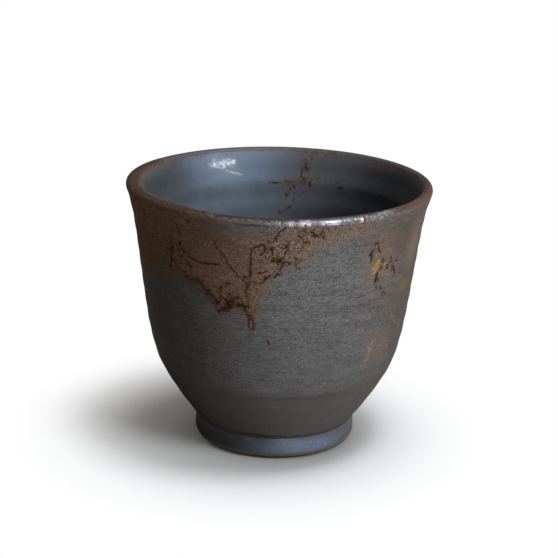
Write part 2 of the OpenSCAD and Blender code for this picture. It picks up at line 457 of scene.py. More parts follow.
def nearness(given):
    """How near the paths are: 1 on them, and 0 as far away as the spread."""
    paths = reckon("GeometryNodeObjectInfo", {"Object": given["Paths"]}).outputs["Geometry"]
    away = reckon("GeometryNodeProximity", {0: paths}, target_element="EDGES").outputs["Distance"]
    return ramp(away, 0.0, given["Spread"], 1.0, 0.0)


def spread_tree(name, mark):
    """Marks how near each point of the wall is to the iron paths, from 1 on them to 0 away."""
    tree, given, result = new_tree(name, "GeometryNodeTree", {
        "Wall": GEOMETRY, "Paths": OBJECT, "Spread": 1 * MM}, {"Wall": GEOMETRY})
    near = nearness(given)
    marked = add(tree, "GeometryNodeStoreNamedAttribute", {
        "Geometry": given["Wall"], "Name": mark, "Value": near}, data_type="FLOAT", domain="POINT")
    return handed_out(result, {"Wall": marked.outputs[0]})


def thread_tree():
    """Makes raised threads of uneven width along the iron paths, with gaps where they sink in."""
    tree, given, result = new_tree("Iron threads", "GeometryNodeTree", {
        "Paths": GEOMETRY, "Thread radius": 0.2 * MM, "Gaps": 0.4, "Finish": MATERIAL},
        {"Threads": GEOMETRY})
    place = made(tree, "GeometryNodeInputPosition")
    sunk = calc("LESS_THAN", noise(place, GAP_SCALE, 2.0), given["Gaps"])
    shown = made(tree, "GeometryNodeDeleteGeometry", {"Geometry": given["Paths"], "Selection": sunk},
                 domain="POINT")
    lines = made(tree, "GeometryNodeMeshToCurve", {"Mesh": shown})
    share = add(tree, "GeometryNodeSplineParameter").outputs["Factor"]
    taper = times(ramp(share, 0.0, 0.25, 0.3, 1.0), ramp(share, 0.6, 1.0, 1.0, 0.3))
    swell = ramp(noise(place, WIDTH_SCALE, 2.0), 0.34, 0.66, 0.3, 2.2)
    width = times(taper, swell)
    sized = made(tree, "GeometryNodeSetCurveRadius", {"Curve": lines, "Radius": width})
    section = made(tree, "GeometryNodeCurvePrimitiveCircle", {
        "Resolution": 6, "Radius": given["Thread radius"]})
    tubes = add(tree, "GeometryNodeCurveToMesh", {
        "Curve": sized, "Profile Curve": section, "Fill Caps": True})
    if "Scale" in tubes.inputs:
        tree.links.new(width, tubes.inputs["Scale"])
    return handed_out_smooth(result, "Threads", tubes.outputs[0], given["Finish"])


def grain_tree():
    """Scatters small flat grains on the wall, close together where the iron is near."""
    tree, given, result = new_tree("Iron grains", "GeometryNodeTree", {
        "Wall": GEOMETRY, "Paths": OBJECT, "Spread": 1 * MM, "Grain radius": 0.15 * MM,
        "Grains per area": 1e6, "Seed": 1, "Finish": MATERIAL}, {"Grains": GEOMETRY})
    near = nearness(given)
    place = made(tree, "GeometryNodeInputPosition")
    normal = made(tree, "GeometryNodeInputNormal")
    outward = vector_calc("NORMALIZE", vector_calc("MULTIPLY", place, (1, 1, 0)))
    facing = vector_calc("DOT_PRODUCT", normal, outward)
    shown = times(near, calc("GREATER_THAN", facing, WALLWARD))
    spots = add(tree, "GeometryNodeDistributePointsOnFaces", {
        "Mesh": given["Wall"], "Density": times(shown, given["Grains per area"]), "Seed": given["Seed"]},
        distribute_method="RANDOM").outputs
    grain = made(tree, "GeometryNodeMeshIcoSphere", {"Radius": given["Grain radius"], "Subdivisions": 1})
    size = made(tree, "FunctionNodeRandomValue", {
        0: GRAIN_LEAST, 1: GRAIN_MOST, "Seed": plus(given["Seed"], 1)}, data_type="FLOAT_VECTOR")
    grains = made(tree, "GeometryNodeInstanceOnPoints", {
        "Points": spots["Points"], "Instance": grain, "Rotation": spots["Rotation"], "Scale": size})
    return handed_out_smooth(result, "Grains", grains, given["Finish"])


def put(name, data):
    """A new object in the scene."""
    thing = bpy.data.objects.new(name, data)
    bpy.context.scene.collection.objects.link(thing)
    return thing


def grown(name, data, tree, values):
    """An object whose mesh is what a geometry tree makes of its data, with nothing left live."""
    source = put(name + "_source", data)
    modifier = source.modifiers.new("Shape", "NODES")
    modifier.node_group = tree
    for item in tree.interface.items_tree:
        if item.in_out == "INPUT" and item.name in values:
            modifier[item.identifier] = values[item.name]
    bpy.context.view_layer.update()
    evaluated = source.evaluated_get(bpy.context.evaluated_depsgraph_get())
    mesh = bpy.data.meshes.new_from_object(evaluated)
    mesh.name = name
    piece = put(name, mesh)
    bpy.data.objects.remove(source)
    return piece


def outline_mesh(points):
    """A closed outline of (radius, height) points as edges in the XZ plane."""
    mesh = bpy.data.meshes.new("outline")
    edges = [(i, (i + 1) % len(points)) for i in range(len(points))]
    mesh.from_pydata([(p.x, 0, p.y) for p in points], edges, [])
    return mesh


def line_curves(routes, line=OUTER_WALL):
    """Poly curves on the wall, through points given as bearing, height, bearing, height."""
    curves = bpy.data.curves.new("routes", "CURVE")
    curves.dimensions = "3D"
    for route in routes:
        spline = curves.splines.new("POLY")
        spline.points.add(len(route) // 2 - 1)
        for point, bearing, height in zip(spline.points, route[::2], route[1::2]):
            point.co = (*on_wall(bearing, height * MM, line), 1.0)
    return curves


# Effects that several finishes share, and heights and the rim's radius in millimetres
TOP_MM, FOOT_MM, BARE_MM, TRIM_MM, RIM_MM = (size / MM for size in (CUP_H, FOOT_H, BARE_H, TRIM_Z, RIM_R))


def cup_place_group():
    """Where a point is on the cup: bearing in degrees, height, radius and place in millimetres."""
    tree, given, result = new_tree("Cup place", "ShaderNodeTree", {"Position": VECTOR},
                                   {"Bearing": FLOAT, "Height": FLOAT, "Radius": FLOAT,
                                    "Millimetres": VECTOR})
    part = add(tree, "ShaderNodeSeparateXYZ", {0: given["Position"]}).outputs
    turn = calc("ARCTAN2", part["X"], times(part["Y"], -1.0))
    flat = vector_calc("LENGTH", vector_calc("MULTIPLY", given["Position"], (1, 1, 0)))
    return handed_out(result, {
        "Bearing": times(turn, math.degrees(1)), "Height": times(part["Z"], 1 / MM),
        "Radius": times(flat, 1 / MM),
        "Millimetres": vector_calc("SCALE", given["Position"], scale=1 / MM)})


def stain_group():
    """A soft spot on the wall with a ragged edge, round a bearing and a height."""
    _, given, result = new_tree("Stain", "ShaderNodeTree", {
        "Bearing": 0.0, "Height": 0.0, "Rag": 0.5, "Centre bearing": 0.0, "Centre height": 0.0,
        "Half angle": 10.0, "Half height": 5.0, "Ragged": 0.6, "Softness": 0.4}, {"Mask": FLOAT})
    turn = minus(given["Bearing"], given["Centre bearing"])
    across = calc("DIVIDE", calc("WRAP", turn, 180.0, -180.0), given["Half angle"])
    up = calc("DIVIDE", minus(given["Height"], given["Centre height"]), given["Half height"])
    far = vector_calc("LENGTH", vector(across, up, 0.0))
    rag = times(minus(given["Rag"], 0.5), given["Ragged"])
    edge = plus(far, rag)
    low = minus(1.0, given["Softness"])
    high = plus(1.0, given["Softness"])
    return handed_out(result, {"Mask": ramp(edge, low, high, 1.0, 0.0)})


def turning_group():
    """Fine lines round the cup from the wheel: a tone and a height, both about 0 to 1."""
    _, given, result = new_tree("Turning lines", "ShaderNodeTree", {
        "Millimetres": VECTOR, "Pitch": 0.6, "Run": 14.0}, {"Tone": FLOAT, "Height": FLOAT})
    per_line = calc("DIVIDE", 1.0, given["Pitch"])
    per_run = calc("DIVIDE", 1.0, given["Run"])
    stretched = vector_calc("MULTIPLY", given["Millimetres"], vector(per_run, per_run, per_line))
    fine = noise(stretched, 1.0, 2.0, 0.6)
    broad = noise(vector_calc("SCALE", stretched, scale=0.28), 1.0, 2.0, 0.5)
    both = plus(times(fine, 0.7), times(broad, 0.3))
    return handed_out(result, {"Tone": ramp(both, 0.34, 0.66), "Height": both})


def speck_group():
    """Small round specks, one in some of the cells."""
    tree, given, result = new_tree("Specks", "ShaderNodeTree", {
        "Millimetres": VECTOR, "Cell": 1.0, "Size": 0.2, "Share": 0.5}, {"Mask": FLOAT})
    cells = add(tree, "ShaderNodeTexVoronoi", {
        "Vector": given["Millimetres"], "Scale": calc("DIVIDE", 1.0, given["Cell"]),
        "Randomness": 1.0}).outputs
    away = times(cells["Distance"], given["Cell"])
    spot = ramp(away, times(given["Size"], 0.5), given["Size"], 1.0, 0.0)
    chosen = calc("LESS_THAN", made(tree, "ShaderNodeSeparateColor", {0: cells["Color"]}), given["Share"])
    return handed_out(result, {"Mask": times(spot, chosen)})


def filament_group():
    """Short wriggling lines that come and go, about as far apart as the cell is wide."""
    _, given, result = new_tree("Filaments", "ShaderNodeTree", {
        "Millimetres": VECTOR, "Cell": 1.0, "Width": 0.1, "Share": 0.5}, {"Mask": FLOAT})
    size = calc("DIVIDE", 1.0, given["Cell"])
    wave = noise(given["Millimetres"], size, 3.0, 0.6, 0.8)
    line = around(minus(wave, 0.5), times(given["Width"], 0.1), times(given["Width"], 0.4), 1.0)
    low = minus(1.0, given["Share"])
    here = noise(vector_calc("ADD", given["Millimetres"], (31.0, 17.0, 5.0)), size, 2.0, 0.6)
    here = ramp(here, minus(low, 0.06), plus(low, 0.06))
    return handed_out(result, {"Mask": times(line, here)})


CUP_PLACE = cup_place_group()
STAIN = stain_group()
TURNING = turning_group()
SPECKS = speck_group()
FILAMENTS = filament_group()


def new_finish(name):
    """A material with a Principled shader, and where a point lies on the cup."""
    material = bpy.data.materials.new(name)
    material.use_nodes = True
    position = add(material.node_tree, "ShaderNodeTexCoord").outputs["Object"]
    return material, use_group(CUP_PLACE, {"Position": position})


def finished(material, relief, strength, depth, looks):
    """Gives a finish its looks, and a relief of a depth in millimetres."""
    tree = material.node_tree
    bump = add(tree, "ShaderNodeBump", {"Strength": strength, "Distance": depth * MM, "Height": relief})
    feed(tree.nodes["Principled BSDF"], {**looks, "Normal": bump.outputs[0]})
    return material


def stains(place, rag, spots, ragged=0.8, softness=0.35):
    """The union of several spots (bearing, height, half angle, half height)."""
    total = None
    for bearing, height, half_angle, half_height in spots:
        mask = use_group(STAIN, {
            "Bearing": place["Bearing"], "Height": place["Height"], "Rag": rag, "Centre bearing": bearing,
            "Centre height": height, "Half angle": half_angle, "Half height": half_height, "Ragged": ragged,
            "Softness": softness})["Mask"]
        total = mask if total is None else most(total, mask)
    return total


def stained(base, place, rag, table):
    """A colour with stains over it: their colour, strength, raggedness, softness and spots."""
    for hexes, strength, ragged, softness, spots in table:
        base = blend(times(stains(place, rag, spots, ragged, softness), strength), base, hexes)
    return base


def specks(place, cell, size, share):
    return use_group(SPECKS, {
        "Millimetres": place["Millimetres"], "Cell": cell, "Size": size, "Share": share})["Mask"]


def mark(place, name):
    """A value that is kept on the wall's own points, such as how near the iron paths are."""
    return add(place["Height"].id_data, "ShaderNodeAttribute", attribute_name=name).outputs["Fac"]


def bearing_curve(bearing, points, top):
    """A value that follows the bearing through given points (bearing, value)."""
    share = calc("DIVIDE", plus(bearing, 180.0), 360.0)
    node = reckon("ShaderNodeFloatCurve", {"Value": share})
    curve = node.mapping.curves[0]
    curve.points[0].location = (0, points[0][1] / top)
    curve.points[1].location = (1, points[-1][1] / top)
    for at, value in points[1:-1]:
        curve.points.new((at + 180) / 360, value / top)
    for point in curve.points:
        point.handle_type = "VECTOR"
    node.mapping.update()
    return times(node.outputs[0], top)


# How low the rust reaches under the lip, as (bearing, height in millimetres)
BLOOM_EDGE = ((-180, 77), (-150, 74), (-125, 66), (-95, 55), (-70, 53), (-55, 55), (-46, 56.2),
              (-37, 55.2), (-31, 54.6), (-28.5, 52.8), (-25.8, 50.8), (-24.5, 48.2), (-19, 47.6),
              (-13, 48.4), (-10.4, 44.4), (-8.2, 43.4), (-7.6, 48), (-6.4, 52.5), (-4.4, 55.6),
              (-1.6, 58.4), (1.4, 60.4), (5, 61.4), (8.4, 61.2), (11, 63.5), (14, 64.8), (21, 68.2),
              (33, 69.6), (42, 73), (50, 77), (180, 77))
STRONG_RUST = ((-18.5, 50.8, 9, 4.2), (-9.4, 47, 2.6, 5), (0, 65.5, 6, 5), (-80, 66, 36, 16),
               (-36, 57.5, 12, 3.4))
LEFT_WASH_AND_SHADE = ((-116, 40, 79, 90),)
RIGHT_WASH = ((92, 50, 44, 40), (60, 66, 24, 8))
DENSE_IRON = ((-18, 50.8, 9, 4), (-9, 47, 2.6, 5), (1, 66, 9, 7), (14, 71, 8, 3), (-42, 61, 6, 6))
SIDE_RUST = ((44, 60, 10, 7), (44.6, 34.5, 3.6, 5.0), (54, 34, 5, 5), (76, 71, 12, 4))
GOLD_POOL = ((40.7, 60.6, 1.9, 0.9), (40.9, 58.8, 2.1, 1.4), (44.6, 59.5, 2.2, 0.42), (46.6, 57.6, 1.9, 0.22))
PALE_FLECKS = ((45.3, 36.6, 0.6, 0.9), (44.4, 34.2, 0.5, 1.3), (44, 32.4, 0.5, 1.0), (43.2, 30.8, 0.4, 0.7),
               (47.3, 37.5, 0.5, 0.8), (39.4, 65.4, 0.4, 0.6), (40.4, 62.8, 0.5, 0.4),
               (42.5, 54.9, 0.5, 0.5), (-8.3, 42.8, 0.9, 0.4), (55, 70.8, 3.2, 0.3),
               (52.6, 59.1, 0.8, 0.3))
FOOT_EDGE = 1.1


def outer_tone_group():
    """The outer glaze's colour and its rust, which run on over the lip's outer side."""
    _, given, result = new_tree("Outer tone", "ShaderNodeTree", {
        "Bearing": 0.0, "Height": 0.0, "Millimetres": VECTOR, "Near iron": 0.0, "Near rust line": 0.0,
        "Near scratch": 0.0, "Lines": 0.5, "Dashes": 0.5, "Grain": 0.5, "Trimmed": 0.0},
        {"Colour": RGBA, "Rust": FLOAT, "Gold": FLOAT})
    place = given
    mm = given["Millimetres"]
    grain = given["Grain"]
    high, bearing = given["Height"], given["Bearing"]
    thrown = minus(1.0, times(given["Trimmed"], 0.75))
    mottle = noise(mm, 0.2, 5.0, 0.65)
    rag = noise(mm, 0.32, 6.0, 0.68)
    base = blend(ramp(mottle, 0.32, 0.68), "605f5f", "6e6d6d")
    base = blend(times(given["Lines"], 0.4), base, "504e4c")
    strength = times(ramp(high, 30.0, 62.0, 0.55, 1.0), thrown)
    base = blend(times(given["Dashes"], strength, 0.7), base, "8b8988")
    base = blend(times(ramp(given["Dashes"], 0.4, 0.05), times(strength, 0.32)), base, "383635")
    base = blend(times(ramp(grain, 0.5, 0.72, 0.0, 0.38), strength), base, "3a3837")
    tint = noise(mm, 0.45, 3.0, 0.6)
    base = blend(ramp(tint, 0.5, 0.66, 0.0, 0.4), base, "6e6365")
    base = blend(ramp(tint, 0.5, 0.34, 0.0, 0.4), base, "606567")
    dust = noise(vector_calc("MULTIPLY", mm, (2.6, 2.6, 4.2)), 1.0, 2.0, 0.7)
    base = blend(ramp(dust, 0.52, 0.7, 0.0, 0.75), base, "312f2e")
    base = blend(times(ramp(dust, 0.46, 0.3), times(strength, 0.55)), base, "a3a19f")
    base = blend(times(specks(place, 1.3, 0.18, 0.1), thrown), base, "9b9a99")
    base = blend(times(given["Trimmed"], 0.6), base, "5e5652")
    trim_line = around(minus(plus(high, times(mottle, 2.4)), TRIM_MM + 0.8), 0.2, 1.1, 0.28)
    broken = noise(vector_calc("MULTIPLY", mm, (0.12, 0.12, 0.5)), 1.0, 2.0, 0.6)
    trim_line = times(trim_line, ramp(broken, 0.42, 0.6))
    base = blend(trim_line, base, "3c3a39")
    # Brown washes over the left, where it is also painted shade, and along the right margin
    base = stained(base, place, rag, (
        ("35260b", 0.95, 0.4, 0.5, LEFT_WASH_AND_SHADE),
        ("59493c", 0.7, 0.6, 0.55, RIGHT_WASH)))
    # Painted shade: the wall is darkened a little from the front round to the right, above the trimmed zone
    painted_shade = times(ramp(bearing, 4.0, 26.0, 0.0, 0.09), ramp(high, 18.0, 26.0))
    base = blend(painted_shade, base, "241f1d")
    rosy = stains(place, rag, ((38, 61, 7, 6), (47, 36, 6, 5)), 1.0, 0.6)
    base = blend(times(rosy, 0.15), base, "77686a")
    # The blue of the foot starts a little above the crease, along which a dark line is painted shade, most of
    # all at the front
    low = shaken(high, rag, 2.4)
    crease = around(minus(low, FOOT_MM + FOOT_EDGE), 0.1, 0.8, 1.0)
    front = stains(place, rag, ((-12, 8, 16, 20),), 0.8, 0.6)
    base = blend(times(crease, ramp(front, 0.0, 1.0, 0.35, 0.9)), base, "34332f")
    band = ramp(low, FOOT_MM + FOOT_EDGE + 0.1, FOOT_MM + FOOT_EDGE - 0.9)
    base = blend(band, base, "474a52")
    # The rust under the lip
    edge = bearing_curve(bearing, BLOOM_EDGE, 80)
    soft = ramp(bearing, -52.0, -22.0, 7.5, 1.8)
    soft = plus(soft, ramp(bearing, -2.0, 22.0, 0.0, 1.6))
    above = shaken(minus(high, edge), rag, 9.0)
    spread = ramp(bearing, -50.0, -20.0, 3.4, 6.0)
    above = plus(above, times(minus(grain, 0.5), spread))
    bloom = ramp(calc("DIVIDE", above, soft), -1.0, 1.0)
    strong = stains(place, rag, STRONG_RUST, 0.8, 0.5)
    cloudy = ramp(noise(mm, 0.3, 5.0, 0.7), 0.34, 0.66, 0.66, 0.95)
    bloom = times(bloom, most(cloudy, times(strong, 0.88)))
    grey_gap = stains(place, rag, ((-14, 71.5, 13, 3.0), (22, 72.2, 3.4, 1.0)), 1.0, 0.6)
    bloom = times(bloom, minus(1.0, times(grey_gap, 0.6)))
    brink = around(above, 0.5, 2.4, 0.55)
    brink = times(brink, stains(place, rag, ((-28, 56, 14, 7),), 0.8, 0.5))
    smoky = stains(place, rag, ((-25, 70, 8, 3.4),), 0.8, 0.6)
    base = stained(base, place, rag, (
        ("937a62", 0.45, 0.8, 0.9, ((67, 61.5, 6, 5.5),)),
        ("937a62", 0.18, 0.8, 0.9, ((44, 67.5, 5, 3),))))
    side = stains(place, rag, SIDE_RUST, 1.4, 0.75)
    near = given["Near iron"]
    halo = times(ramp(times(near, plus(rag, 0.5)), 0.1, 0.9), 0.6)
    rust_mask = most(bloom, halo, times(side, 0.4))
    left_part = ramp(bearing, -14.0, -46.0)
    right_part = ramp(bearing, -12.0, 0.0)
    rust = blend(left_part, "a6785a", "926035")
    rust = blend(right_part, rust, "a1816e")
    rust = blend(ramp(tint, 0.5, 0.38, 0.0, 0.55), rust, "6e6452")
    rust = blend(times(given["Lines"], 0.4), rust, "675142")
    rust = blend(times(given["Dashes"], 0.6), rust, "554438")
    rust = blend(ramp(grain, 0.5, 0.7, 0.0, 0.85), rust, "3d2416")
    rust = blend(ramp(dust, 0.52, 0.66, 0.0, 0.85), rust, "3a2417")
    pale = ramp(noise(mm, 3.1, 2.0, 0.6), 0.54, 0.68)
    rust = blend(times(pale, times(right_part, 0.85)), rust, "c2a997")
    rust = blend(ramp(dust, 0.46, 0.32, 0.0, 0.5), rust, "b0917c")
    rust = blend(specks(place, 0.9, 0.24, 0.3), rust, "3a2012")
    base = blend(rust_mask, base, rust)
    base = blend(most(brink, times(smoky, 0.3)), base, "4a3822")
    thin = use_group(FILAMENTS, {"Millimetres": mm, "Cell": 1.5, "Width": 0.14, "Share": 0.5})["Mask"]
    dense = stains(place, rag, DENSE_IRON, 1.0, 0.5)
    thin = times(thin, times(bloom, ramp(dense, 0.0, 1.0, 0.25, 0.95)))
    base = blend(thin, base, "301a0e")
    core = ramp(times(near, plus(grain, 0.5)), 0.4, 0.9)
    core = times(core, ramp(rag, 0.36, 0.54, 0.4, 0.9))
    base = blend(core, base, "3c1c0f")
    # Painted shade: a dark line on the wall just under the lip, at the front
    painted_lip_shade = shaken(high, rag, 1.2)
    painted_lip_shade = around(minus(painted_lip_shade, TOP_MM - 1.7), 0.1, 0.5, 0.6)
    painted_lip_shade = times(painted_lip_shade, stains(place, rag, ((-9, 73, 7, 20), (14, 73, 2, 20)), 1.6, 0.5))
    base = blend(painted_lip_shade, base, "2b2b2c")
    line = ramp(times(given["Near rust line"], plus(rag, 0.5)), 0.2, 0.9)
    base = blend(times(line, ramp(grain, 0.36, 0.56, 0.9, 0.45)), base, "7f6544")
    olive = stains(place, rag, ((64, 50.5, 6, 2.0), (57, 53.6, 3, 0.9)), 1.2, 0.7)
    base = blend(times(olive, 0.5), base, "7c6a47")
    scratch = ramp(given["Near scratch"], 0.2, 0.7, 0.0, 0.8)
    base = blend(times(scratch, ramp(grain, 0.4, 0.55, 1.0, 0.4)), base, "99745a")
    gold = stains(place, noise(mm, 0.9, 4.0, 0.7), GOLD_POOL, 1.1, 0.3)
    gold = times(gold, ramp(grain, 0.6, 0.46, 0.15, 1.0))
    metal = blend(ramp(mottle, 0.35, 0.65), "866430", "bc9b5e")
    base = blend(gold, base, metal)
    flecks = stains(place, rag, PALE_FLECKS, 1.2, 0.5)
    base = blend(times(flecks, ramp(grain, 0.44, 0.54, 0.55, 0.0)), base, "a6948a")
    return handed_out(result, {"Colour": base, "Rust": rust_mask, "Gold": gold})


OUTER_TONE = outer_tone_group()


def outer_tone(place):
    """The outer glaze's tone and relief at a place, for the wall and for the lip's outer side."""
    mm = place["Millimetres"]
    lines = use_group(TURNING, {"Millimetres": mm, "Pitch": 0.8, "Run": 9.0})
    dashes = use_group(TURNING, {"Millimetres": mm, "Pitch": 0.4, "Run": 1.7})
    grain = noise(mm, 2.4, 3.0, 0.7)
    trimmed = ramp(place["Height"], TRIM_MM + 3.2, TRIM_MM - 1.6)
    tone = use_group(OUTER_TONE, {
        "Bearing": place["Bearing"], "Height": place["Height"], "Millimetres": mm,
        "Near iron": mark(place, IRON_MARK), "Near rust line": mark(place, TAIL_MARK),
        "Near scratch": mark(place, SCRATCH_MARK), "Lines": lines["Tone"], "Dashes": dashes["Tone"],
        "Grain": grain, "Trimmed": trimmed})
    rough = minus(1.0, times(trimmed, 0.7))
    fine = plus(times(dashes["Height"], 0.8), times(grain, 0.5))
    relief = plus(times(lines["Height"], 0.6), times(fine, rough))
    return tone, plus(relief, times(tone["Gold"], 0.6))


def outer_glaze_finish():
    material, place = new_finish("matte_iron_glaze")
    tone, relief = outer_tone(place)
    return finished(material, relief, 0.8, 0.16, {
        "Base Color": tone["Colour"], "Roughness": ramp(tone["Rust"], 0.0, 1.0, 0.56, 0.8),
        "Specular IOR Level": 0.09})


INNER_RUST = ((167.6, 71.6, 2.1, 3.8), (168.2, 68, 1.7, 2.4), (162, 75, 6, 1.6))
GLOSS_CLOUD = ((-149.9, 71.6, 1.0, 1.7), (-154.1, 71.1, 0.9, 1.6), (-151.4, 73.7, 0.6, 1.0),
               (-157.0, 72.1, 2.4, 0.6), (-158.9, 71.4, 0.9, 0.9), (-156.6, 71.0, 2.0, 0.6),
               (-152.0, 71.1, 1.8, 0.6))
GLOSS_HAZE = ((-152.5, 71.2, 9.0, 3.0),)


def inner_tone_group():
    """The inner glaze's colour and its streak, which run on over the lip at the back."""
    _, given, result = new_tree("Inner tone", "ShaderNodeTree", {
        "Bearing": 0.0, "Height": 0.0, "Millimetres": VECTOR, "Near iron": 0.0, "Lines": 0.5, "Rag": 0.5},
        {"Colour": RGBA, "Streak": FLOAT})
    place = given
    mm = given["Millimetres"]
    rag = given["Rag"]
    mottle = noise(mm, 0.11, 4.0, 0.6)
    fine = noise(mm, 2.0, 3.0, 0.6)
    base = blend(ramp(mottle, 0.32, 0.68), "464e57", "56616d")
    base = blend(times(given["Lines"], 0.35), base, "40464e")
    base = blend(ramp(fine, 0.5, 0.75, 0.0, 0.3), base, "3a3f45")
    base = stained(base, place, rag, (
        ("5b6470", 0.35, 0.2, 0.3, ((-175, 52, 58, 13),)),
        ("424547", 0.75, 0.6, 0.5, ((-108, 71, 34, 10),)),
        # Painted reflection: a paler blue on the upper back left, where the glaze mirrors the bluish light
        ("6a7b90", 0.8, 0.5, 0.6, ((-162, 71, 24, 7),)),
        # On the right the glaze is a neutral grey, and the right side is darkened nearly to black as painted
        # shade
        ("5d5b5b", 0.7, 0.5, 0.4, ((138, 70, 42, 30),)),
        ("343433", 0.8, 0.2, 0.35, ((84, 68, 48, 34),)),
        # It thins to brown near the lip, most of all on the left and above the streak
        ("665550", 0.75, 0.7, 0.5,
         ((-98, 76, 34, 3.0), (163, 75.2, 10, 2.2), (-143, 75.2, 8, 1.6), (95, 76, 60, 2.6),
          (128, 75.2, 26, 2.4))),
        ("7e7478", 0.7, 0.7, 0.6, ((-168, 74.8, 17, 1.6),))))
    near = given["Near iron"]
    halo = ramp(times(near, plus(rag, 0.5)), 0.2, 0.9)
    streak = most(times(halo, 0.75), stains(place, rag, INNER_RUST, 1.2, 0.4))
    rust = blend(ramp(rag, 0.42, 0.6), "6f5f5a", "3c302b")
    base = blend(times(streak, 0.85), base, rust)
    base = stained(base, place, rag, (
        ("57462d", 0.7, 1.8, 0.8, ((169.4, 65.7, 2.4, 0.9), (173.5, 65.3, 3.4, 0.4))),
        ("62402a", 0.8, 1.2, 0.5, ((168.3, 65.5, 0.9, 1.0),)),
        ("2c2522", 0.8, 1.2, 0.6,
         ((165.5, 65.1, 0.6, 0.8), (150.2, 64.9, 1.8, 0.35), (169.9, 68.2, 0.45, 1.8)))))
    return handed_out(result, {"Colour": base, "Streak": streak})


INNER_TONE = inner_tone_group()


def inner_tone(place, rag):
    mm = place["Millimetres"]
    lines = use_group(TURNING, {"Millimetres": mm, "Pitch": 1.2, "Run": 26.0})
    tone = use_group(INNER_TONE, {
        "Bearing": place["Bearing"], "Height": place["Height"], "Millimetres": mm,
        "Near iron": mark(place, IRON_MARK), "Lines": lines["Tone"], "Rag": rag})
    return tone, lines


def inner_glaze_finish():
    material, place = new_finish("glossy_blue_grey_glaze")
    mm = place["Millimetres"]
    rag = noise(mm, 0.45, 5.0, 0.65)
    tone, lines = inner_tone(place, rag)
    # The gloss is broken into streaks and faint wisps
    wisp = noise(mm, 0.8, 4.0, 0.62, 1.2)
    cloud = times(stains(place, rag, GLOSS_CLOUD, 1.0, 0.7), ramp(wisp, 0.4, 0.58, 0.2, 0.85))
    edge = ramp(times(mark(place, GLOSS_MARK), plus(wisp, 0.5)), 0.2, 1.1, 0.0, 0.55)
    haze = times(stains(place, rag, GLOSS_HAZE, 0.6, 0.8), 0.17)
    gloss = most(cloud, edge, haze)
    relief = plus(times(lines["Height"], 0.4), rag)
    return finished(material, relief, 0.7, 0.16, {
        "Base Color": tone["Colour"], "Roughness": ramp(tone["Streak"], 0.0, 1.0, 0.55, 0.7),
        "Specular IOR Level": 0.28, "Coat Weight": gloss, "Coat Roughness": 0.16})


RIM_RUST = ((-74, 74, 46, 30), (88, 74, 45, 30))
RIM_PAINTED_SHEEN_AND_GLOSS = ((14, 74, 18, 30), (37, 74, 7, 30))
RIM_GLINTS = ((4.4, 74, 0.7, 30), (9.2, 74, 2.0, 30), (18.2, 74, 3.2, 30), (30.3, 74, 0.5, 30),
             (0.6, 74, 0.2, 30))
RIM_DOTS = ((6.2, 74.55, 0.55, 0.2), (9.4, 73.5, 0.5, 0.3), (16.6, 73.4, 0.5, 0.3), (-3.2, 74.4, 0.5, 0.2),
            (-35.5, 74.9, 0.4, 0.45), (-27.8, 75.1, 0.7, 0.3))


